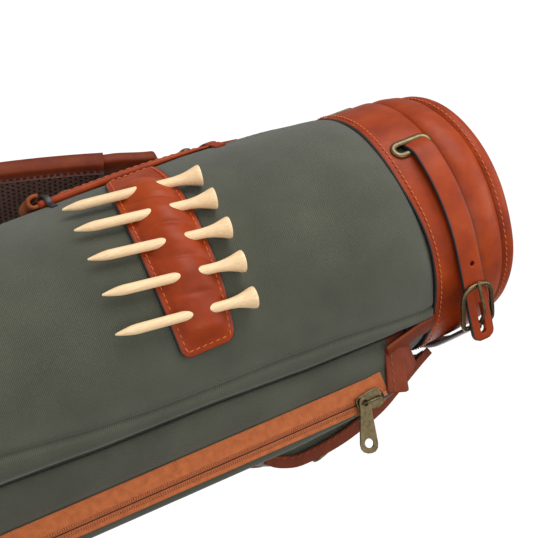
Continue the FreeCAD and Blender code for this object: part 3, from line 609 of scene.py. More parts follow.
def set_the_stage():
    """The camera at the bag's mouth, a pale floor, a white surround and soft lights."""
    right = Vector((0.38228, -0.33265, 0.86210))
    down = Vector((0.92404, 0.14178, -0.35504))
    ahead = Vector((-0.00413, 0.93233, 0.36158))
    camera = bpy.data.objects.new("camera", bpy.data.cameras.new("camera"))
    camera.data.lens = 86.96
    camera.data.sensor_width = 36.0
    camera.data.clip_start = 0.01
    stand = Matrix((right, -down, -ahead)).transposed().to_4x4()
    stand.translation = (0, -0.65836, 0.50901)
    camera.matrix_world = stand
    bpy.context.scene.collection.objects.link(camera)
    bpy.context.scene.camera = camera

    world = bpy.data.worlds.new("surround")
    world.use_nodes = True
    tree = world.node_tree
    tree.nodes["Background"].inputs["Color"].default_value = (1, 1, 1, 1)
    seen = add(tree, "LightPath").outputs["Is Camera Ray"]
    strength = add(tree, "MapRange", Value=seen, _3=0.38, _4=1.05)
    tree.links.new(strength.outputs[0], tree.nodes["Background"].inputs["Strength"])
    bpy.context.scene.world = world
    bpy.context.scene.view_settings.view_transform = "Standard"

    bm = bmesh.new()
    bmesh.ops.create_grid(bm, x_segments=2, y_segments=2, size=3.0)
    mesh = bpy.data.meshes.new("floor")
    bm.to_mesh(mesh)
    bm.free()
    floor = bpy.data.objects.new("floor", mesh)
    mesh.materials.append(make_speckled("floor", paint(232, 231, 229), paint(238, 237, 235), 0.8,
                                        0.01, 0.01))
    bpy.context.scene.collection.objects.link(floor)
    floor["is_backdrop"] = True

    aim = Vector((0, 0, 0.72))
    for name, place, size, power in (
            ("key", (-0.95, -0.75, 1.25), 0.9, 13.0), ("front", (0.35, -1.3, 0.75), 1.1, 7.0),
            ("mouth", (0.1, -0.55, 1.75), 0.8, 5.0), ("back", (0.5, 1.2, 0.9), 1.2, 9.0)):
        light = bpy.data.lights.new(name, "AREA")
        light.size = size
        light.energy = power
        lamp = bpy.data.objects.new(name, light)
        lamp.location = place
        lamp.rotation_euler = (aim - Vector(place)).to_track_quat("-Z", "Y").to_euler()
        bpy.context.scene.collection.objects.link(lamp)


# ---------------------------------------------------------------- the tube

def mirrored(angle):
    return 180.0 - angle


def canvas_radius(angle, height):
    """The cloth's distance from the axis, with the panel's edge, the rolled strip and creases."""
    radius = tube_radius(height)
    side = angle if angle <= 90 else mirrored(angle)
    fold, crease = table(FOLD, height), table(CREASE, height)
    present = ease((height - 300) / 110)
    arc = radius * pi / 180
    past_fold, past_crease = (side - fold) * arc, (side - crease) * arc
    lip = 0.9 * ease(1 + past_fold / 9) if past_fold <= 0 else 0.0
    strip_width = max(2.0, (crease - fold) * arc)
    inside = past_fold / strip_width
    roll = 2.4 * sin(pi * min(1.0, max(0.0, inside))) ** 0.7 if 0 < inside < 1 else 0.0
    valley = -1.6 * hump(past_fold - 0.9, 1.3)
    dip = -3.8 * hump(past_crease, 4.0) if height < 818 else -1.2 * hump(past_crease, 4.5)
    radius += present * ease((826 - height) / 5) * (lip + roll + valley + dip)
    point = around(radius, angle, height)
    radius += 0.9 * wobble(point, 95) + 0.5 * wobble(point, 34, 3)
    gathers = hump(COLLAR_FOOT - 6 - height, 14) * ease((COLLAR_FOOT - height) / 3)
    radius += 0.55 * gathers * wobble(Vector((angle * 1.2, height * 0.12, 0)), 7.5, 5)
    dent = hump((height - 752) - (angle - 14) * 1.0, 5) * hump(angle - 16, 12)
    return radius - 0.5 * dent - 0.5 * ease((72 - height) / 10)


def build_tube():
    """The olive canvas tube, sewn up the spine, with a soft folded edge over the pocket's seam."""
    heights = [4, 20, 40, 60] + [66 + i * 6 for i in range(126)]
    heights += [h / 10 for h in range(8215, 8270, 6)] + [830, 838, 846]
    heights = sorted(set(h for h in heights if h <= 846))
    rows, weave = [], []
    for height in heights:
        fold, crease = table(FOLD, height), table(CREASE, height)
        anchors = [(-90, 0), (-52, 22), (fold - 7, 42), (fold, 14), (crease, 16), (90, 12)]
        angles = [anchors[0][0]]
        for (start, _), (end, count) in zip(anchors, anchors[1:]):
            angles += [start + (end - start) * i / count for i in range(1, count + 1)]
        angles += [mirrored(a) for a in angles[-2::-1]]
        rows.append([around(canvas_radius(a, height), a, height) for a in angles])
        weave.append([(a * 1.29, height) for a in angles])
    tube = grid("canvas_tube", rows, [CANVAS], weave=weave, stands_for=("body_shell",), slot="canvas")
    thicken(tube, 0.9, -1)
    seams = []
    for shift in (-3.6, 3.6):
        for low, high in ((70, 648), (778, 818)):
            line = [around(canvas_radius(-90 + shift, h), -90 + shift, h)
                    for h in range(low, high, 6)]
            seams.append(seam(line, outward, -0.2))
    stitches("spine_stitches", seams, GREEN_THREAD, length=3.0, gap=1.2, thread=0.28, slot="canvas")


def build_lining():
    """The cloth inside the tube, loose enough to ripple."""
    rows, weave = [], []
    for i in range(86):
        height = 8 + i * (848 - 8) / 85
        ring, flat = [], []
        for j in range(121):
            angle = -90 + 3 * j
            point = around(62, angle, height)
            radius = tube_radius(min(height, 800)) - 5.4 - 1.3 * abs(wobble(point, 40, 7))
            radius = min(radius, 64.6) if height > 790 else radius
            radius = min(radius, 61.5) if height > 846 else radius
            ring.append(around(radius - 0.8 * hump((j % 24) - 12, 1.2), angle, height))
            flat.append((angle * 1.2, height))
        rows.append(ring)
        weave.append(flat)
    lining = grid("lining_sleeve", [row[::-1] for row in rows], [LINING],
                  weave=[row[::-1] for row in weave], stands_for=("inner_lining",), slot="lining")
    return thicken(lining, 0.4, 0)


def build_base():
    """The stitched leather cuff round the foot, with a rounded lower edge."""
    profile = smooth_profile([(70.3, 0.9), (72.4, 0.6), (74.4, 1.6), (75.3, 4.5), (75.2, 14), (75.0, 40),
                              (75.1, 60), (74.9, 65.0)], 2.0)
    inner = [(73.2, 65.8), (72.9, 60), (72.9, 8), (72.5, 4), (70.6, 2.9)]
    shape = [(r, h) for r, h in profile] + [(74.2, 66.0)] + inner
    cuff = lathe("base_cuff_leather", shape, Vector((0, 0, 0)), Z, [TAN, EDGE], sides=144, closed=True,
                 stands_for=("base_cuff",), slot="tan_leather")
    for face in cuff.data.polygons:
        height = face.center.z / MM
        if height > 64.6 and face.normal.z > 0.3:
            face.material_index = 1
    seams = []
    for height in (61.0, 57.4, 9.0):
        line = [around(75.25, a * 3, height) for a in range(121)]
        seams.append(seam(line, outward, 0.0))
    stitches("base_stitches", seams, THREAD, length=2.8, gap=1.2, slot="tan_leather")


# ---------------------------------------------------------------- collar and mouth

def collar_wave(angle):
    """How far the collar's lower edge wanders up or down at an angle."""
    return 1.2 * sin(radians(angle * 2 + 40)) + 0.8 * sin(radians(angle * 5))


def build_band():
    """The leather band round the neck: painted lower edge, overlap seam, and two brass slots."""
    outline = [(69.0, 0.0, 1), (69.45, 0.5, 0), (69.35, 3.5, 0), (69.2, 8, 0), (69.15, 15, 0),
               (69.2, 22, 0), (69.1, 27.5, 0), (68.4, 29.0, 0), (66.9, 29.0, 0), (66.7, 15, 0),
               (66.7, 0.4, 1), (67.2, -0.3, 1), (68.4, -0.4, 1)]
    points, faces, finishes = [], [], []
    turns, size = 240, len(outline)
    for i in range(turns):
        angle = 360 * i / turns
        lap = 0.55 * max(0.0, 1 - ((angle - 55.5) % 360) / 26)
        for radius, height, _ in outline:
            shift = collar_wave(angle) * max(0.0, 1 - height / 12)
            puff = 0.45 * wobble(around(60, angle, height), 22, 2)
            if height < 0.45:
                puff *= 0.4
            points.append(around(radius + lap + puff, angle, COLLAR_FOOT + height + shift))
    for i in range(turns):
        for j in range(size):
            k = (j + 1) % size
            there = (i + 1) % turns * size
            faces.append((i * size + j, i * size + k, there + k, there + j))
            finishes.append(outline[j][2])
    band = make_piece("collar_leather", points, faces, [TAN, EDGE], finishes,
                      stands_for=("collar_band",), slot="tan_leather")
    face_outwards(band)
    for angle in EYELET_ANGLES:
        cut_away(band, stadium_tool(19, 6, 16, slot_frame(angle, BAND_RADIUS)))
    line = [around(69.45, a * 3, COLLAR_FOOT + 3.4 + collar_wave(a * 3) * 0.7) for a in range(121)]
    stitches("collar_stitches", [seam(line, outward, 0.25)], THREAD, length=2.3, gap=0.9, thread=0.36,
             slant=7, slot="tan_leather")


def slot_frame(angle, radius):
    return axes(around(radius, angle, EYELET_HEIGHT), around(1, angle + 90, 0), Z)


def build_eyelets():
    """Two long brass grommets, rolled over the edges of the collar's slots."""
    for number, angle in enumerate(EYELET_ANGLES, 1):
        half, reach = 3.7, 7.0
        flat = [(half * cos(t), reach + half * sin(t)) for t in [pi * i / 12 for i in range(13)]]
        flat += [(-x, -z) for x, z in flat]
        line = []
        for x, z in flat:
            bend = degrees(x / 70.0)
            line.append(around(70.0, angle + bend, EYELET_HEIGHT + z))
        rim = [(1.75 * cos(t), 1.0 * sin(t) * (1 if sin(t) > 0 else 0.6), 0)
               for t in [2 * pi * i / 14 for i in range(14)]]
        name = "eyelet_rim_%d" % number
        stops = stations(smooth_line(line, 0.7, closed=True), outward, closed=True)
        sweep(name, stops, rim, [BRASS], closed=True,
              stands_for=("strap_eyelets",) if number == 1 else (), slot="antique_brass")
        wall = [around(68.2, angle + degrees(x * 0.86 / 70), EYELET_HEIGHT + z * 0.93) for x, z in flat]
        neck = [(0.35, 1.7, 0), (0.0, 1.8, 0), (-0.3, 1.7, 0), (-0.3, -1.7, 0), (0.35, -1.7, 0)]
        sweep("eyelet_neck_%d" % number, stations(smooth_line(wall, 0.9, closed=True), outward, closed=True),
              neck, [BRASS], closed=True, slot="antique_brass")


def ring_of(profile, name, looks, waves, turns=200, **place):
    """A soft ring round the mouth: a closed (radius, height) profile moved by waves(angle)."""
    rows = []
    for i in range(turns):
        angle = 360 * i / turns
        rows.append([around(r + waves(angle, r, h)[0], angle, h + waves(angle, r, h)[1])
                     for r, h in profile])
    rows.append(rows[0])
    piece = grid(name, rows, looks, wrap=True, **place)
    weld(piece)
    return face_outwards(piece)


def mouth_squeeze(angle):
    """How far the soft mouth is pressed in: most over the spine, and a little beside the buckle."""
    spine = ((angle + 88 + 180) % 360) - 180
    beside = ((angle - 62 + 180) % 360) - 180
    return -2.6 * hump(spine, 42) - 1.9 * hump(beside, 34)


def build_mouth():
    """The padded roll above the band and the stitched lip that closes it."""
    def roll_waves(angle, radius, height):
        point = around(66, angle, height)
        swell = 0.9 * wobble(point, 38, 11) + 0.35 * wobble(point, 14, 12)
        tuck = -0.9 * hump(((angle + 82 + 180) % 360) - 180, 7)
        outer = ease((radius - 62) / 4)
        pressed = mouth_squeeze(angle) * ease((height - 852) / 12)
        return outer * (swell + tuck + pressed), 0.9 * wobble(around(66, angle, 0), 60, 13)

    roll = smooth_profile([(66.6, 851.6), (68.2, 853.2), (69.6, 857.0), (69.9, 861.5), (69.1, 866.2),
                           (67.4, 869.6), (65.2, 871.4), (63.4, 870.4), (62.6, 866), (62.5, 858),
                           (63.4, 853.0), (65.0, 851.4), (66.6, 851.6)], 1.1)[:-1]
    piece = ring_of(roll, "mouth_roll_leather", [TAN], roll_waves, stands_for=("mouth_roll",),
                    slot="tan_leather")

    def lip_waves(angle, radius, height):
        point = around(64, angle, 0)
        outer = ease((radius - 59) / 3)
        pressed = mouth_squeeze(angle)
        return outer * (0.8 * wobble(point, 34, 21) + pressed), 0.9 * wobble(point, 60, 13)

    lip = smooth_profile([(64.8, 870.8), (66.2, 872.4), (66.9, 875.0), (66.3, 877.8), (64.4, 879.6),
                          (62.0, 879.9), (60.2, 878.4), (59.7, 875.4), (60.2, 872.6), (62.0, 871.2),
                          (64.8, 870.8)], 0.9)[:-1]
    piece = ring_of(lip, "mouth_lip_leather", [TAN], lip_waves, stands_for=("mouth_lip",),
                    slot="tan_leather")
    line = []
    for a in range(181):
        angle = a * 2
        point = around(66, angle, 0)
        line.append(around(66.5 + 0.8 * wobble(point, 34, 21) + mouth_squeeze(angle), angle,
                           873.2 + 0.9 * wobble(point, 60, 13)))
    stitches("mouth_stitches", [seam(line, outward, 0.15)], THREAD, length=2.5, gap=1.1, thread=0.34,
             slant=9, slot="tan_leather")


def build_divider():
    """The padded bar across the mouth, its stitches, and the cloth that hangs from it."""
    half = 56.5
    line = [Vector((0, -half + 2 * half * i / 56, 860.2)) for i in range(57)]

    def share(at):
        return 0.72 + 0.28 * sqrt(max(0.0, 1 - abs(2 * at - 1) ** 6))

    def plump(travelled, a, b):
        return 0.35 * sin(travelled * 2 * pi / 18.8) * (1 if b > 0 else 0)

    outline = [(5.9 * cos(t) * abs(cos(t)) ** -0.3 if abs(cos(t)) > 1e-6 else 0.0, 7.8 * sin(t), 0)
               for t in [2 * pi * i / 28 + 0.01 for i in range(28)]]
    bar = sweep("divider_bar", stations(line, Z, share=share), outline, [TAN], lift=plump,
                stands_for=("mouth_divider",), slot="tan_leather")
    sides = []
    for side in (-1, 1):
        run = [Vector((side * 5.5, y, 854.6)) for y in range(-52, 53, 4)]
        sides.append(seam(run, X * side, 0.25))
    stitches("divider_stitches", sides, THREAD, length=2.6, gap=1.2, slot="tan_leather")
    rows, weave = [], []
    for i in range(60):
        height = 851.6 - 291 * i / 59
        loose = ease(i / 30)
        row = []
        for j in range(59):
            y = -57.5 + 115 * j / 58
            sway = 1.5 * loose * sin(y / 11.0) + 1.2 * loose * wobble(Vector((y, height, 3)), 45, 4)
            row.append(Vector((sway, y * (1 - 0.012 * loose), height)))
        rows.append(row)
        weave.append([(p.y, p.z) for p in row])
    panel = grid("divider_cloth", rows, [LINING], weave=weave, stands_for=("divider_panel",),
                 slot="lining")
    thicken(panel, 0.8, 0)


# ---------------------------------------------------------------- cinch belt

def belt_line(start, end, radius=BELT_RADIUS, step=3.0):
    count = max(2, int(abs(end - start) / step))
    return [around(radius, start + (end - start) * i / count, BELT_HEIGHT) for i in range(count + 1)]


def off_band(along, out, height=BELT_HEIGHT):
    """A point along the belt's straight run, which leaves the band at the bend angle."""
    return around(1, BEND_ANGLE, 0) * out + around(1, BEND_ANGLE + 90, 0) * along + Z * height


def outward_of_belt(point):
    """Out of the band, except along the free end, which runs straight."""
    if point.dot(around(1, BEND_ANGLE + 90, 0)) > 0 and point.dot(around(1, BEND_ANGLE, 0)) > 40:
        return around(1, BEND_ANGLE, 0)
    return outward(point)


def build_belt():
    """The belt that dives into the two grommets and meets at the buckle."""
    outline = strap_outline(BELT_WIDTH, BELT_THICK, crown=0.25)
    middle = BELT_RADIUS + 0.05
    dive = [around(65.8, EYELET_ANGLES[0] - 6.0, 843.0), around(67.4, EYELET_ANGLES[0] - 3.2, 843.2),
            around(70.2, EYELET_ANGLES[0] + 0.2, 843.6), around(72.0, EYELET_ANGLES[0] + 5.0, 844.0)]
    corners = dive + belt_line(-18, BEND_ANGLE, step=6) + [off_band(d, middle)
                                                          for d in (6, 12, 20, 30, 40, 46, TONGUE_END)]
    line = smooth_line(corners, 1.5)
    total = sum((b - a).length for a, b in zip(line, line[1:]))

    def share(at):
        left = (1 - at) * total
        return 1.0 if left > 5 else 0.5 + 0.5 * sqrt(max(0.0, 1 - (1 - left / 5) ** 2))

    belt = sweep("belt_tongue", stations(line, outward_of_belt, share=share), outline, [TAN, EDGE],
                 stands_for=("cinch_strap",), slot="tan_leather")
    across = around(1, BEND_ANGLE + 90, 0)
    cut_away(belt, stadium_tool(2.9, 2.7, 14, axes(off_band(8.0, middle, BELT_HEIGHT + 0.8), across, Z)))
    cut_away(belt, stadium_tool(17.6, 3.6, 12, axes(off_band(BAR_ALONG - 5.0, middle), Z, across)))
    rear = belt_line(JOIN_ANGLE, 360 + EYELET_ANGLES[1] - 6, step=5)
    dive = [around(70.2, EYELET_ANGLES[1] - 0.2, 843.6), around(67.4, EYELET_ANGLES[1] + 3.2, 843.2),
            around(65.8, EYELET_ANGLES[1] + 6.0, 843.0)]
    bar = off_band(BAR_ALONG, BELT_RADIUS - BELT_THICK / 2 - 0.4 - WIRE)
    reach = (bar - rear[0]).length - 3.3 + 0.6
    start = rear[0] + (bar - rear[0]).normalized() * reach
    sweep("belt_buckle_side",
          stations(smooth_line([start, start.lerp(rear[0], 0.5)] + rear + dive, 2.0), outward_of_join),
          outline, [TAN, EDGE], stands_for=("buckle_strap",), slot="tan_leather")


def outward_of_join(point):
    """Out of the band; before the joining angle, out of the short straight run to the bar."""
    angle = degrees(atan2(point.x, -point.y))
    return around(1, max(angle, 71.0) if -90 < angle < 180 else angle, 0)


def build_buckle():
    """A four-sided wire frame that turns on its bar, and the prong on the same bar."""
    half = BELT_WIDTH / 2 + 2.6
    low, high = BELT_HEIGHT - half, BELT_HEIGHT + half
    under = BELT_RADIUS - BELT_THICK / 2 - 0.4 - WIRE
    over = BELT_RADIUS + BELT_THICK / 2 + 0.4 + WIRE

    def side(share, height):
        return off_band(BAR_ALONG + (FREE_ALONG - BAR_ALONG) * share, under + (over - under) * share, height)

    corners = [side(0, low + 3.2), side(0.03, low + 0.8), side(0.14, low), side(0.5, low + 0.1),
               side(0.76, low + 0.5), side(0.93, low + 2.5), side(1, low + 6.2),
               side(1, high - 6.2), side(0.93, high - 2.5), side(0.76, high - 0.5), side(0.5, high - 0.1),
               side(0.14, high), side(0.03, high - 0.8), side(0, high - 3.2)]
    sweep("buckle_wire", stations(smooth_line(corners, 0.8, closed=True), around(1, BEND_ANGLE, 0),
                                  closed=True), round_outline(1.3, 14), [BRASS],
          closed=True, body="buckle", stands_for=("buckle_frame",), slot="antique_brass")
    top = over + WIRE + 1.4
    pin = [off_band(BAR_ALONG - 1.6, under + 2.4), off_band(BAR_ALONG - 5.0, top - 3.2),
           off_band(BAR_ALONG - 9.5, top + 0.2), off_band(30, top + 0.3), off_band(23, top),
           off_band(FREE_ALONG - 3.2, top - 0.2)]

    def taper(at):
        return 1.0 if at < 0.8 else 1 - 2.2 * (at - 0.8)

    sweep("buckle_pin", stations(smooth_line(pin, 0.8), Z, share=taper), round_outline(0.95, 12),
          [BRASS], body="prong", stands_for=("buckle_prong",), slot="antique_brass")
    out, along = around(1, BEND_ANGLE, 0), around(1, BEND_ANGLE + 90, 0)
    eye = [off_band(BAR_ALONG, under) + (along * cos(t) + out * sin(t)) * 2.1
           for t in [2 * pi * i / 16 for i in range(16)]]
    sweep("buckle_pin_eye", stations(eye, Z, closed=True), round_outline(0.7, 10), [BRASS], closed=True,
          body="prong", slot="antique_brass")


# ---------------------------------------------------------------- tees and their holder

def tee_line(index):
    """The point and the direction of a tee, numbered from the spine side."""
    step = index - (TEE_COUNT - 1) / 2
    head = around(82.2, -20.0 + 12.5 * step, COLLAR_FOOT - 98.9 - 1.7 * step)
    tip = around(81.0, -28.4 + 13.6 * step, COLLAR_FOOT - 167.6 - 2.8 * step)
    along = (head - tip).normalized()
    return head - along * 69.85, along


def build_tees():
    """Five turned wooden tees, each free to slide out of its loop."""
    profile = [(0.0, 0.0), (0.45, 0.25), (1.3, 3.4), (2.15, 7.6), (2.42, 10.4), (2.45, 13), (2.45, 34),
               (2.45, 54), (2.6, 57.5), (3.15, 61.4), (4.2, 65.2), (5.05, 67.7), (5.35, 68.9),
               (5.25, 69.6), (4.8, 69.8), (4.0, 69.2), (2.6, 68.3), (0.0, 67.9)]
    for index in range(TEE_COUNT):
        tip, along = tee_line(index)
        lathe("tee_%d_wood" % (index + 1), smooth_profile(profile, 1.2), tip, along, [WOOD], sides=32,
              body="tee_%d" % (index + 1), stands_for=("tee_%d" % (index + 1),), slot="tee_wood")


def patch_rise(angle, height):
    """How far the patch's leather stands off: one low dome over the tees, a little ridged by them."""
    best = 0.0
    for index in range(TEE_COUNT):
        tip, along = tee_line(index)
        on = tip + along * ((height - tip.z) / along.z)
        tee_angle = degrees(atan2(on.x, -on.y))
        off = (angle - tee_angle) * radians(79)
        reach = abs(height - 698.0 + (tee_angle + 29) * 0.152)
        dome = cos(min(1.0, reach / 13.5) * pi / 2) ** 0.9 if reach < 13.5 else 0.0
        beside = ease((17 - abs(off)) / 11)
        best = max(best, dome * beside * (6.1 + 0.9 * hump(off, 4.0)))
    return best


def patch_middle(angle):
    share = (angle + 29) / 46
    return 697.2 - 6.2 * share + 1.6 * share * share


def patch_half_width(share, length):
    """Half of the patch's width, wide in the middle, with rounded corners."""
    side = 2 * share - 1
    half = 14.0 + 3.3 * (1 - side * side)
    left = min(share, 1 - share) * length
    corner = 5.0
    if left < corner:
        half -= corner - sqrt(max(0.0, corner ** 2 - (corner - left) ** 2))
    return half


def build_tee_holder():
    """The barrel-shaped leather patch, swelling over the tees, with a black edge and stitches."""
    start, end, foot = -74.5, 16.5, 77.9
    length = radians(end - start) * foot
    columns, across = 150, 56
    crowd = [0.0, 0.002, 0.006, 0.012, 0.02, 0.03]
    marks = crowd + [0.03 + 0.94 * i / (columns - 1) for i in range(1, columns - 1)] \
        + [1 - c for c in reversed(crowd)]
    rows = []
    for share in marks:
        angle = start + (end - start) * share
        half = patch_half_width(share, length)
        middle = patch_middle(angle)
        row = []
        for j in range(across + 1):
            side = 2 * j / across - 1
            height = middle + side * half
            near_edge = min(half - abs(side) * half, min(share, 1 - share) * length)
            rise = patch_rise(angle, height) * ease(near_edge / 6)
            soft = -0.5 * (1 - ease(near_edge / 1.4)) + 0.25 * wobble(around(60, angle, height), 12, 9)
            row.append(around(foot + rise + soft, angle, height))
        low, high = row[0], row[-1]
        skirt_low = [around(75.9, angle, low.z), around(77.0, angle, low.z - 0.1)]
        skirt_high = [around(77.0, angle, high.z + 0.1), around(75.9, angle, high.z)]
        rows.append(skirt_low + row + skirt_high)
    first, last = rows[0], rows[-1]
    rows = [[around(75.9, start, p.z) for p in first], [around(77.0, start - 0.05, p.z) for p in first]] \
        + rows + [[around(77.0, end + 0.05, p.z) for p in last], [around(75.9, end, p.z) for p in last]]
    tall = len(rows)

    def finish(i, j):
        return 1 if i < 3 or i > tall - 5 or j < 3 or j > across else 0

    grid("tee_patch", rows, [TAN, EDGE], finish=finish, stands_for=("tee_holder",),
         slot="tan_leather")
    inset, counts = 3.0, 60
    top, bottom = [], []
    for i in range(counts + 1):
        share = 0.026 + 0.948 * i / counts
        angle = start + (end - start) * share
        half = patch_half_width(share, length) - inset + 0.2
        top.append(around(foot + 0.1, angle, patch_middle(angle) + half))
        bottom.append(around(foot + 0.1, angle, patch_middle(angle) - half))
    sides = []
    for line in (top, bottom):
        sides.append(seam(line, outward, 0.1))
    for share, at in ((0.026, 0), (0.974, counts)):
        low, high = bottom[at], top[at]
        angle = start + (end - start) * share
        sides.append(seam([around(foot + 0.1, angle, low.z + (high.z - low.z) * k / 12)
                           for k in range(13)], outward, 0.1))
    stitches("patch_stitches", sides, THREAD, length=2.5, gap=1.0, thread=0.34, slant=6,
             slot="tan_leather")


# ---------------------------------------------------------------- pockets

LEAN = atan2(5.0, 203.0)
ZIP_PLACE = axes(Vector((79.0, -POCKET_HALF, 787.0)), Vector((cos(LEAN), 0, -sin(LEAN))),
                 Vector((sin(LEAN), 0, cos(LEAN))))
POCKET_FRONT = [(372, 58), (378, 68), (386, 74), (400, 77), (560, 81.2), (723, 85.3), (763, 84.3),
                (783, 82.1), (798, 77.3), (803, 73.6)]


def pocket_row(height):
    """One turn of the pocket's cloth, from the near crease over the front to the far one."""
    front = table(POCKET_FRONT, height)
    crease = table(CREASE, height)
    seat = tube_radius(height) - 1.6
    close = ease((height - 371) / 16) * ease((807 - height) / 10)
    half = POCKET_HALF - 5 * (1 - close)
    tape = 79.0 - (787 - height) * sin(LEAN) - 11.0
    tape = min(tape, front - 9)
    start = around(seat, crease, height)
    meet = Vector((tape, -half, height))
    near = []
    swell = 2.6 * close * ease((800 - height) / 60 + 0.25)
    for i in range(15):
        share = i / 15
        point = start.lerp(meet, share)
        side = Vector((meet.y - start.y, start.x - meet.x, 0)).normalized()
        if side.y > 0:
            side = -side
        puff = swell * sin(pi * share) ** 0.8 + 0.9 * close * wobble(point, 26, 31) * sin(pi * share)
        near.append(point + side * puff)
    corner = 4.2
    flat_end = front - corner
    near += [Vector((tape + (flat_end - tape) * i / 8, -half, height)) for i in range(9)]
    near += [Vector((flat_end + corner * sin(t), -half + corner * (1 - cos(t)), height))
             for t in [radians(15 * i) for i in range(1, 7)]]
    far = [Vector((p.x, -p.y, height)) for p in reversed(near)]
    bow = 1.8 * close
    first, last = near[-1], far[0]
    middle = []
    for i in range(1, 24):
        share = i / 24
        point = first.lerp(last, share)
        puff = bow * sin(pi * share) + 0.8 * close * wobble(point, 40, 33)
        middle.append(point + X * puff * (0.25 if 712 < height else 1.0))
    return near + middle + far


def build_main_pocket():
    """The long bellows pocket: cloth from crease to crease, gathered in at its foot."""
    heights = [371, 373, 376, 380, 385, 391, 398] + list(range(404, 790, 6)) \
        + [790, 794, 797, 799.5, 801.5, 803, 804]
    rows = [pocket_row(h) for h in heights]
    weave = []
    for row in rows:
        run, flat = 0.0, []
        for i, point in enumerate(row):
            run += (point - row[i - 1]).length if i else 0.0
            flat.append((run, point.z))
        weave.append(flat)
    for rim, height in ((0, 370.0), (-1, 805.0)):
        close = [around(tube_radius(height) - 2.0, degrees(atan2(p.x, -p.y)), height)
                 for p in rows[rim]]
        rows.insert(0 if rim == 0 else len(rows), close)
        weave.insert(0 if rim == 0 else len(weave), [(u, height) for u, _ in weave[rim]])
    tall = len(rows)
    pocket = grid("pocket_cloth", rows, [CANVAS, BROWN], weave=weave,
                  finish=lambda i, j: 1 if i > tall - 9 else 0, stands_for=("main_pocket",),
                  slot="canvas")
    thicken(pocket, 0.8, -1)


def zip_line(place, x, y, low, high, step=4.0, shift=None):
    """Points up a zipper at local x and y, from low to high; shift moves them near the open end."""
    count = max(2, int((high - low) / step))
    line = []
    for i in range(count + 1):
        z = low + (high - low) * i / count
        dx, dy = shift(z) if shift else (0.0, 0.0)
        line.append(place @ Vector((x + dx, y + dy, z)))
    return line


def build_zip(prefix, place, length, left, right, slider_at, spread):
    """Tapes with their whipped edges, the closed coil, and a dark strip of painted shade in its slit."""
    out = place.to_3x3() @ Vector((0, -1, 0))

    def part(z):
        """Above the slider the two tapes stand apart."""
        gap = ease((z - slider_at - 3) / 9)
        return spread * gap, 0.0

    def part_back(z):
        move = part(z)
        return -0.25 * move[0], 0.0

    runs = []
    for name, low_x, high_x, shift, top in (("inner", left, -0.32, part_back, -6.6),
                                            ("outer", 0.32, right, part, slider_at + 5.0)):
        middle, width = (low_x + high_x) / 2, high_x - low_x
        line = zip_line(place, middle, -0.62, -length, top, 3.0, shift)
        sweep("%s_tape_%s_cloth" % (prefix, name), stations(line, out),
              strap_outline(width, 0.62, 0.12, 8, 0.25), [TAPE, TAPE],
              stands_for=("%s_tape_%s" % (prefix, name),), slot="zip_tape")
        edge = low_x if name == "inner" else high_x
        inward = 1 if name == "inner" else -1
        if name == "inner":
            runs.append(seam(zip_line(place, edge + inward * 0.9, -0.86, -length + 1, -8, 3.0, shift), out))
    stitches(prefix + "_whipping", runs, WHIP, length=2.0, gap=-0.5, thread=0.2, slant=52,
             zigzag=True, slot="zip_tape")
    beads = []
    for side, shift in ((-1, part_back), (1, part)):
        beads.append(seam(zip_line(place, side * 1.55, -0.98, -length + 4, -9.0, 3.0, shift), out))
    stitches(prefix + "_coil", beads, COIL, length=1.9, gap=-0.72, thread=0.42, slant=90,
             stands_for=(prefix + "_chain",), slot="zip_coil")
    # A thin dark strip under the gap between the coils stands for the shade in the slit: painted shade.
    slit = zip_line(place, 0, -0.36, -length + 2, slider_at - 3, 6.0)
    sweep(prefix + "_gap_painted_shade", stations(slit, out), strap_outline(1.5, 0.1), [GAP_SHADE, GAP_SHADE], slot="zip_coil")


def round_points(x, z, radius, count=20):
    return [(x + radius * cos(2 * pi * i / count), z + radius * sin(2 * pi * i / count))
            for i in range(count)]


def build_slider(prefix, place, middle, slider_body, pull_body, tilt):
    """A cast slider with its arch, and a flat tapered pull with a round hole, turned by the tilt."""
    nose, tail = middle + 7, middle - 7
    outer = [(-2.2, tail), (2.2, tail), (3.0, tail + 0.5), (3.5, tail + 3.5), (4.4, middle + 1.5),
             (4.5, nose - 2.2), (3.9, nose - 0.5), (2.6, nose), (-2.6, nose), (-3.9, nose - 0.5),
             (-4.5, nose - 2.2), (-4.4, middle + 1.5), (-3.5, tail + 3.5), (-3.0, tail + 0.5)]
    plate(prefix + "_slider_plate", outer, [], 1.7, 0.45,
          place @ Matrix.Translation((0, -2.8, 0)), [BRASS], body=slider_body,
          stands_for=(prefix + "_slider",), slot="antique_brass")
    low = [Vector((0, -2.6, middle - 4.6)), Vector((0, -5.2, middle - 4.9)), Vector((0, -7.2, middle - 3.4)),
           Vector((0, -7.9, middle - 0.5)), Vector((0, -7.7, middle + 3)), Vector((0, -6.2, middle + 5.2)),
           Vector((0, -2.6, middle + 6.0))]
    line = smooth_line([place @ p for p in low], 0.7)
    sweep(prefix + "_slider_arch", stations(line, place.to_3x3() @ X), round_outline(1.15, 12, 0.62),
          [BRASS], body=slider_body, slot="antique_brass")
    post = middle - 3.5
    arm = [(-2.6, -1.6), (-1.6, -2.8), (0.2, -3.1), (3, -2.9), (6, -3.1), (12, -3.8), (20.5, -4.6),
           (22.8, -4.3), (24.4, -3.0), (25.1, -1.0), (25.1, 1.0), (24.4, 3.0), (22.8, 4.3), (20.5, 4.6),
           (12, 3.8), (6, 3.1), (3, 2.9), (0.2, 3.1), (-1.6, 2.8), (-2.6, 1.6)]
    spot = place @ Matrix.Translation((0, -5.05, post)) @ Matrix.Rotation(radians(tilt), 4, "Y")
    plate(prefix + "_pull_plate", arm, [round_points(0, 0, 1.75), round_points(20.3, 0, 2.7)], 1.3, 0.3,
          spot, [BRASS], body=pull_body, stands_for=(prefix + "_pull",), slot="antique_brass")


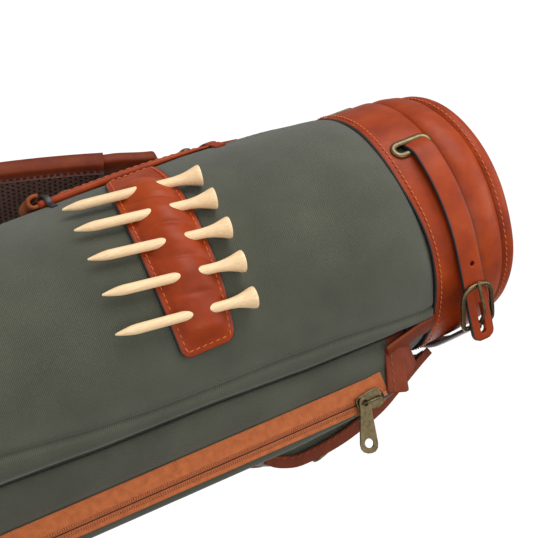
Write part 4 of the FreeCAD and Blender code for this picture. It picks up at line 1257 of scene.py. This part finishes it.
def tab(name, corners, out, width, thick, looks, share=None, crown=0.25, **place):
    """A short leather strap through the corners, with stitches left to its caller."""
    line = smooth_line(corners, 1.2)
    return sweep(name, stations(line, out, share=share), strap_outline(width, thick, crown), looks,
                 **place)


def build_main_zip():
    """The long pocket's zipper with its leather end tabs and the corner strap to the collar."""
    build_zip("zip", ZIP_PLACE, ZIP_LENGTH, -10.6, 4.4, -19.0, 2.2)
    build_slider("zip", ZIP_PLACE, -19.0, "zip_slider", "zip_pull", 17)
    out = ZIP_PLACE.to_3x3() @ Vector((0, -1, 0))

    def flare(at):
        """Narrow at the crease, wider at the free end, with rounded corners."""
        left = (1 - at) * 22
        start = at * 22
        share = 0.98 + 0.16 * at ** 3
        if left < 2.2:
            share *= 0.72 + 0.28 * sqrt(max(0.0, 1 - (1 - left / 2.2) ** 2))
        return share * (0.86 + 0.14 * min(1.0, start / 2))

    for name, z, reach in (("zip_top_tab", 0.0, 20.0), ("zip_foot_tab", -ZIP_LENGTH - 6.2, 10.6)):
        lean = TAB_LEAN if name == "zip_top_tab" else 0.0
        corners = [ZIP_PLACE @ Vector((x, y, z + lean * (TAB_TURN - x))) for x, y in
                   ((-reach, -1.5), (-reach * 0.75, -1.75), (-reach * 0.5, -1.8), (-reach * 0.2, -1.8),
                    (1.2, -1.75), (2.3, -1.6))]
        tab(name + "_leather", end_steps(corners, 2.0, 3), out, 11.2, 2.2, [BROWN, BROWN], flare,
            stands_for=(name,), slot="brown_leather")
        row = [ZIP_PLACE @ Vector((x, -2.95, z - 2.4 + lean * (TAB_TURN - x))) for x in
               [-reach + 1.5 + (reach + 0.5) * i / 8 for i in range(9)]]
        stitches(name + "_stitches", [seam(row, out)], DARK_THREAD, length=2.9, gap=1.4, thread=0.36,
                 slant=8, slot="brown_leather")
    strap = [Vector((60.8, -49.6, 787)), Vector((59.4, -49.3, 794)), Vector((58.0, -48.0, 803)),
             Vector((56.8, -45.8, 811)), Vector((56.6, -43.4, 818)), Vector((55.0, -41.6, 823.5))]
    tab("corner_strap_leather", strap, outward, 10.6, 1.8, [BROWN, BROWN],
        stands_for=("pocket_corner_strap",), slot="brown_leather")


POUCH_LINE = [(87.4, 714.5), (91.6, 719), (95.0, 725.5), (97.4, 732), (98.2, 739), (98.1, 750),
              (97.2, 762), (94.2, 776), (90.2, 790), (86.2, 800.5), (81.4, 811), (76.6, 820.5),
              (73.6, 827)]
BINDING_LINE = [(87.0, 717.6), (92.6, 727.4), (94.9, 738), (93.6, 762), (88.0, 786.5), (80.6, 804.6),
                (71.6, 829)]


def build_pouch():
    """The small pouch: a bowed front, side gussets, bound edges and its own zipper."""
    shift, half = 17.0, 27.0
    line = smooth_line([Vector((x, shift, z)) for x, z in POUCH_LINE], 2.5)
    count = 30
    rows, weave, travelled = [], [], 0.0
    for i, point in enumerate(line):
        after = line[min(i + 1, len(line) - 1)] - line[max(i - 1, 0)]
        out = Vector((after.z, 0, -after.x)).normalized()
        travelled += (point - line[i - 1]).length if i else 0.0
        bow = 1.5 * sin(pi * i / (len(line) - 1)) ** 0.5
        flat_zip = 1 - hump(point.z - 776, 11) * 0.8
        row, flat = [], []
        for j in range(count + 1):
            side = 2 * j / count - 1
            puff = flat_zip * (bow * (1 - side ** 4) + 0.5 * wobble(point + Y * side * half, 20, 41))
            sink = -1.4 * max(0.0, abs(side) - 0.93) / 0.07
            row.append(point + Y * side * (half - 0.2) + out * (puff + sink - 1.0))
            flat.append((side * half, travelled))
        rows.append(row)
        weave.append(flat)
    front = grid("pouch_front_cloth", rows, [CANVAS], weave=weave, stands_for=("accessory_pouch",),
                 slot="canvas")
    thicken(front, 0.9, 1)
    for number, side in enumerate((-1, 1), 1):
        inner = [Vector((table([(714, 84.8), (723, 85.4), (763, 84.5), (783, 82.3), (798, 77.4),
                                (806, 73.8), (828, 70.8)], p.z), 0, p.z)) for p in line]
        gusset, flat = [], []
        for a, b in zip(line, inner):
            row = []
            for k in range(7):
                spot = Vector((a.x - 0.6, 0, a.z)).lerp(b, k / 6)
                pinch = 1.3 * sin(pi * k / 6)
                row.append(Vector((spot.x, shift + side * (half - 0.5 - pinch), spot.z)))
            gusset.append(row)
            flat.append([(p.x, p.z) for p in row])
        grid("pouch_gusset_%d" % number, gusset, [CANVAS], weave=flat, slot="canvas")
    for number, side in enumerate((-1, 1), 1):
        plane = shift + side * (half + 1.1)
        line = smooth_line([Vector((x, plane, z)) for x, z in BINDING_LINE], 2.0)

        def share(at):
            return 1.0 - 0.34 * ease((at - 0.72) / 0.28) - 0.18 * ease((0.06 - at) / 0.06)

        first = stations(line, Y * side)[len(line) // 2]
        inside = 1 if first[1].dot(Vector((75, 0, 770)) - Vector((first[0].x, 0, first[0].z))) > 0 else -1
        outline = [(a - 1.5 * inside, b, f) for a, b, f in strap_outline(6.6, 1.6, 0.15)]
        sweep("pouch_binding_leather_%d" % number, stations(line, Y * side, share=share),
              outline, [BROWN, BROWN], stands_for=("pouch_bindings",) if number == 1 else (),
              slot="brown_leather")
        inset = []
        for at, across, _, wide in stations(line, Y * side, share=share):
            toward = across if across.dot(Vector((75, 0, 770)) - Vector((at.x, 0, at.z))) > 0 else -across
            inset.append(at + toward * (0.5 * wide) + Y * side * 0.95)
        stitches("binding_stitches_%d" % number, [seam(inset[2:-2], Y * side)], DARK_THREAD, length=2.6,
                 gap=1.8, thread=0.36, slant=10, slot="brown_leather")
    low, high = Vector((97.4, 0, 762)), Vector((90.4, 0, 790))
    slope = (high - low).normalized()
    middle = (low + high) / 2
    place = axes(Vector((middle.x, shift + 24, middle.z)), -slope, Y)
    build_zip("pouch_zip", place, 48.0, -6.0, 6.0, -18.0, 0.0)
    build_slider("pouch_zip", place, -18.0, "pouch_slider", "pouch_pull", 0)


# ---------------------------------------------------------------- carry handle

def spine_point(radius, height, side=0.0):
    return Vector((-radius, side, height))


def build_handle():
    """A thick strap that lies along the spine and thins towards the mouth, with a folded low end."""
    rows = [(77.8, 3.9, 657.5), (77.8, 3.9, 664), (78.0, 3.9, 680), (78.1, 3.8, 700), (77.9, 3.2, 722),
            (77.3, 2.2, 742), (76.2, 1.4, 757), (75.2, 1.1, 766), (74.6, 1.0, 771)]
    line = smooth_line([spine_point(x, z) for x, _, z in rows], 2.0)
    thick = [(z, t) for _, t, z in rows]
    outline = strap_outline(26, 3.9, 0.15, edge=1.5)
    stops = stations(line, -X)

    def thin(travelled, a, b):
        return b * (table(thick, 657.5 + travelled) / 3.9 - 1) - a * a / 152

    sweep("handle_leather", stops, outline, [TAN, TAN], lift=thin, stands_for=("carry_handle",),
          slot="tan_leather")
    seams = []
    for side in (-10.2, 10.2):
        run = [p - X * (table(thick, p.z) / 2 - 0.75) + Y * side for p in line if 668 < p.z < 752]
        seams.append(seam(run, -X, 0.0))
    stitches("handle_stitches", seams, THREAD, length=3.0, gap=1.2, thread=0.24, slot="tan_leather")
    fold = [spine_point(x, z) for x, z in ((76.6, 657.6), (76.9, 654.4), (78.8, 652.9), (81.2, 653.6),
                                           (82.2, 656.0), (81.9, 658.9))]
    sweep("handle_fold", level_stations(smooth_line(fold, 0.8), Y), strap_outline(25, 2.0, 0.1),
          [HAIRY, HAIRY], slot="brown_leather")
    for number, (height, crest, wide) in enumerate(((662.5, 81.1, 3.4), (757, 77.6, 5.5)), 1):
        arch = []
        for side, radius in ((-17.5, 75.6), (-14.5, 76.0), (-11.4, 76.7), (-9.7, crest - 1.4),
                             (-8.4, crest - 0.3), (-3, crest + 0.5), (3, crest + 0.5),
                             (8.4, crest - 0.3), (9.7, crest - 1.4), (11.4, 76.7), (14.5, 76.0),
                             (17.5, 75.6)):
            arch.append(around(radius, -90 + side, height))
        sweep("keeper_leather_%d" % number, stations(smooth_line(arch, 1.2), outward),
              strap_outline(wide, 1.1, 0.1), [EDGE, EDGE] if number == 1 else [TAN, TAN],
              stands_for=("handle_keepers",) if number == 1 else (), slot="brown_leather")
    dome = [(0.0, 1.35), (1.4, 1.2), (2.6, 0.75), (3.4, 0.2), (3.6, -0.3), (2.4, -0.5), (0, -0.5)]
    for number, (radius, height) in enumerate(((80.2, 674.5), (78.9, 745.0)), 1):
        lathe("handle_rivet_cap_%d" % number, smooth_profile(dome, 0.4), spine_point(radius, height), -X,
              [BRASS], sides=28, stands_for=("handle_rivets",) if number == 1 else (),
              slot="antique_brass")


# ---------------------------------------------------------------- shoulder strap

STRAP_OUT = Vector((cos(STRAP_TURN), sin(STRAP_TURN), 0))
STRAP_SIDE = Vector((-sin(STRAP_TURN), cos(STRAP_TURN), 0))


def strap_point(out, side, height):
    return STRAP_OUT * out + STRAP_SIDE * side + Z * height


def strap_arc(offset, count=72, trim=0.0):
    """Points along the strap's arc at an offset from its middle line."""
    half = asin(STRAP_HALF_CHORD / STRAP_ARC) - trim / STRAP_ARC
    centre = STRAP_BOW - STRAP_ARC
    radius = STRAP_ARC + offset
    turns = [-half + 2 * half * i / count for i in range(count + 1)]
    return [strap_point(centre + radius * cos(t), 0, STRAP_MIDDLE + radius * sin(t)) for t in turns]


def arc_out(point):
    """Away from the arc's centre."""
    centre = strap_point(STRAP_BOW - STRAP_ARC, 0, STRAP_MIDDLE)
    flat = point - centre
    return (flat - STRAP_SIDE * flat.dot(STRAP_SIDE)).normalized()


def build_strap_pad():
    """The padded part: quilted canvas outside, open mesh inside, leather along both edges."""
    half = 31.0
    marks = [2 * i / 40 - 1 for i in range(41)]

    def face(m):
        channels = hump(abs(m) - 0.36, 0.05) * 1.7
        return 3.2 * (1 - abs(m) ** 5) + 0.2 - channels

    outline = [(half * m, face(m) - 0.2, 0) for m in marks]
    outline += [(-half * m, -3.2 - 0.2 * (1 - m ** 4), 0) for m in marks]

    def plump(travelled, a, b):
        return 0.7 * wobble(Vector((a, travelled, 0)), 30, 51) if b > 0 else 0.0

    pad = sweep("strap_pad_cloth", stations(strap_arc(0), arc_out), outline, [CANVAS], lift=plump,
                body="shoulder_strap", stands_for=("strap_pad",), slot="canvas")
    edging = [(-1.9, 2.6), (-1.0, 3.3), (3.5, 3.7), (6.6, 3.9), (6.6, 3.0), (1.2, 2.6), (0.7, 0.0),
              (1.2, -4.9), (6.4, -5.0), (6.4, -5.9), (2.0, -6.1), (-0.4, -5.7), (-1.6, -4.8), (-2.1, 0.0)]
    for number, side in enumerate((-1, 1), 1):
        outline = [(side * (half - a), b, 0) for a, b in edging]
        sweep("strap_edge_leather_%d" % number, stations(strap_arc(0), arc_out), outline,
              [BROWN], body="shoulder_strap",
              stands_for=("strap_binding",) if number == 1 else (), slot="brown_leather")
        runs = []
        for offset, out_sign in ((-5.95, -1), (4.5, 1)):
            line = [p + STRAP_SIDE * side * (half - 4.9) for p in strap_arc(offset)]
            runs.append(seam(line, lambda p, s=out_sign: arc_out(p) * s, 0.05))
        stitches("strap_edge_stitches_%d" % number, runs, DARK_THREAD, length=2.4, gap=1.2, thread=0.34,
                 body="shoulder_strap", slot="brown_leather")
    runs = []
    for side in (-1, 1):
        line = [p + STRAP_SIDE * side * half * 0.36 for p in strap_arc(1.75)]
        runs.append(seam(line, arc_out, 0.15))
    stitches("strap_channel_stitches", runs, GREEN_THREAD, length=3.0, gap=1.2, thread=0.34,
             body="shoulder_strap", slot="canvas")
    build_spacer_mesh()


def build_spacer_mesh():
    """The strap's inner face: an open knitted mesh of six-sided holes over dark foam."""
    pitch = 3.3
    row_step = pitch * 0.866
    rows = int((2 * asin(STRAP_HALF_CHORD / STRAP_ARC) * STRAP_ARC - 10) / row_step)
    columns = 17
    centre = STRAP_BOW - STRAP_ARC
    corner = pitch / sqrt(3)
    points, faces, seen = [], [], {}

    def place(along, side, depth):
        key = (round(along, 1), round(side, 1), depth)
        if key not in seen:
            radius = STRAP_ARC - 4.0 - depth
            turn = along / STRAP_ARC
            seen[key] = len(points)
            points.append(strap_point(centre + radius * cos(turn), side,
                                      STRAP_MIDDLE + radius * sin(turn)))
        return seen[key]

    for i in range(rows):
        for j in range(columns):
            along = (i - (rows - 1) / 2) * row_step
            side = (j - (columns - 1) / 2 + (0.25 if i % 2 else -0.25)) * pitch
            if abs(side) > 26.6:
                continue
            rings = []
            for reach, depth in ((1.0, 0.95), (0.78, 1.15), (0.56, 0.7), (0.5, 0.1)):
                ring = []
                for k in range(6):
                    turn = radians(60 * k + 30)
                    ring.append(place(along + corner * reach * sin(turn), side + corner * reach * cos(turn),
                                      depth))
                rings.append(ring)
            for ring, deeper in zip(rings, rings[1:]):
                faces += [(ring[k], ring[(k + 1) % 6], deeper[(k + 1) % 6], deeper[k]) for k in range(6)]
    make_piece("strap_mesh_knit", points, faces, [MESH], body="shoulder_strap",
               stands_for=("strap_mesh",), slot="spacer_mesh")
    backing = strap_arc(-3.75, 60, 3)
    sweep("strap_mesh_backing", stations(backing, arc_out), strap_outline(55, 0.3), [FOAM, FOAM],
          body="shoulder_strap", slot="spacer_mesh")


def pad_end(sign):
    radius = sqrt(STRAP_ARC ** 2 - STRAP_HALF_CHORD ** 2)
    return strap_point(STRAP_BOW - STRAP_ARC + radius, 0, STRAP_MIDDLE + sign * STRAP_HALF_CHORD)


def hook_wire(sign):
    """Where the hook's wire hangs in the ring."""
    return strap_point(RING_BAR + 6.6, 0, STRAP_MIDDLE + sign * (RING_DROP - 8.8))


def hook_place(sign):
    """The hook's own frame, as in the design: Z from the pad to the ring, X out of the tube."""
    wire = hook_wire(sign)
    back = (wire - pad_end(sign)).normalized()
    flat_out, flat_up = back.dot(STRAP_OUT), back.z
    side = STRAP_OUT * (flat_up * sign) - Z * (flat_out * sign)
    place = Matrix((side, back.cross(side), back)).transposed().to_4x4()
    place.translation = wire - back * 1.5
    return place, (wire - pad_end(sign)).length


def build_strap_ends():
    """The narrow ends: folded round the hooks' loops, stitched, and sewn to the pad."""
    for which, sign in (("upper", 1), ("lower", -1)):
        place, length = hook_place(sign)
        end = 1.0 - length + 1.1
        fold = [(1.35, end + 0.4), (1.4, end * 0.75 - 7), (1.3, -44), (1.6, -34), (2.9, -29.6),
                (3.3, -25.6), (2.2, -22.6), (0, -21.9), (-2.2, -22.6), (-3.3, -25.6), (-2.9, -29.6),
                (-1.6, -34), (-1.3, -44)]
        path = [place @ Vector((x * 0.92, 0, z)) for x, z in fold]
        stops = level_stations(smooth_line(path, 1.6), place.to_3x3() @ Y)
        sweep("strap_tongue_" + which, stops, strap_outline(25, 1.3, 0.08), [BROWN, EDGE],
              body="shoulder_strap", stands_for=("strap_end_" + which,), slot="strap_canvas")
        seams = []
        normal = place.to_3x3() @ X
        for y in (-9.8, 9.8):
            run = [place @ Vector((1.95, y, z)) for z in [end + 3 + i * 4 for i in
                                                          range(int((-34 - end) / 4))]]
            seams.append(seam(run, normal))
        cross = [place @ Vector((2.3, -9 + 2 * i, -33.5)) for i in range(10)]
        seams.append(seam(cross, normal))
        stitches("tongue_stitches_" + which, seams, THREAD, length=2.8, gap=1.2, thread=0.34,
                 body="shoulder_strap", slot="strap_canvas")
        build_ring_tab(which, sign)
        build_pad_cap(which, sign)


def build_pad_cap(which, sign):
    """A leather cap that carries the pad's end on along the narrow strap."""
    arc = strap_arc(0.5, 72)
    arc = arc[:5] if sign < 0 else arc[-5:][::-1]
    wire = hook_wire(sign)
    lead = (wire - pad_end(sign)).normalized()
    corners = [arc[4], arc[2], arc[0]] + [arc[0] + lead * d for d in (8, 16, 24, 32)]
    line = end_steps(smooth_line(corners, 2.0), 3.0, 4)
    total = sum((b - a).length for a, b in zip(line, line[1:]))

    def share(at):
        left = (1 - at) * total
        narrow = 1.0 - 0.3 * ease(1 - left / 34)
        return narrow if left > 6 else narrow * (0.5 + 0.5 * sqrt(max(0.0, 1 - (1 - left / 6) ** 2)))

    sweep("pad_cap_" + which, stations(line, arc_out, share=share), strap_outline(63, 6.6, 0.3, edge=2.6),
          [BROWN, BROWN], body="shoulder_strap", slot="brown_leather")


def build_ring_tab(which, sign):
    """The leather tab that holds a D-ring against the tube, with its eye round the ring's bar."""
    height = STRAP_MIDDLE + sign * RING_DROP
    corners = []
    for out, up in ((0.4, -24.5), (0.4, -16), (0.45, -8), (1.0, -3.2), (2.8, -0.4)):
        z = height - sign * up
        corners.append((max(tube_radius(min(z, 815)) + 1.6 + out, 71.5 + out), z))
    stops = level_stations(smooth_line([strap_point(out, 0, z) for out, z in corners], 1.5), STRAP_SIDE)
    sweep("ring_tab_plate_" + which, stops, strap_outline(17, 2.2, 0.2), [TAN, EDGE],
          stands_for=("d_ring_tab_" + which,), slot="tan_leather")
    eye = [strap_point(RING_BAR + 2.75 * cos(radians(t)), 0, height + 2.75 * sin(radians(t)))
           for t in range(0, 360, 20)]
    stops = level_stations(eye, STRAP_SIDE, closed=True)
    sweep("ring_tab_eye_" + which, stops, strap_outline(17, 1.5, 0.0), [TAN, EDGE], closed=True,
          slot="tan_leather")
    runs = []
    for side in (-5.8, 5.8):
        line = [strap_point(tube_radius(min(z, 815)) + 3.3, side, z)
                for z in [height + sign * (6 + 2 * i) for i in range(9)]]
        runs.append(seam(line, STRAP_OUT))
    stitches("ring_tab_stitches_" + which, runs, THREAD, length=2.5, gap=1.1, thread=0.34,
             slot="tan_leather")


# ---------------------------------------------------------------- CAD nodes that stay

KEPT = {
    "base_sole": RUBBER, "base_board": BOARD, "spine_stays": ROD, "mouth_hoop": STEEL,
    "d_ring_upper": BRASS, "d_ring_lower": BRASS, "snap_hook_upper": BRASS, "snap_hook_lower": BRASS,
    "snap_gate_upper": BRASS, "snap_gate_lower": BRASS, "strap_slide_buckle": BRASS,
    "zip_stops": COIL, "pouch_zip_stops": COIL,
}


def finish_cad_nodes():
    for node, look in KEPT.items():
        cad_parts[node].data.materials.clear()
        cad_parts[node].data.materials.append(look)


# ---------------------------------------------------------------- build

set_the_stage()
build_tube()
build_lining()
build_base()
build_band()
build_eyelets()
build_mouth()
build_divider()
build_belt()
build_buckle()
build_tees()
build_tee_holder()
build_main_pocket()
build_main_zip()
build_pouch()
build_handle()
build_strap_pad()
build_strap_ends()
finish_cad_nodes()

boxes = {"cad": cad_box, "visual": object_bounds()}
{name: [[round(c, 5) for c in corner] for corner in box] for name, box in boxes.items()}
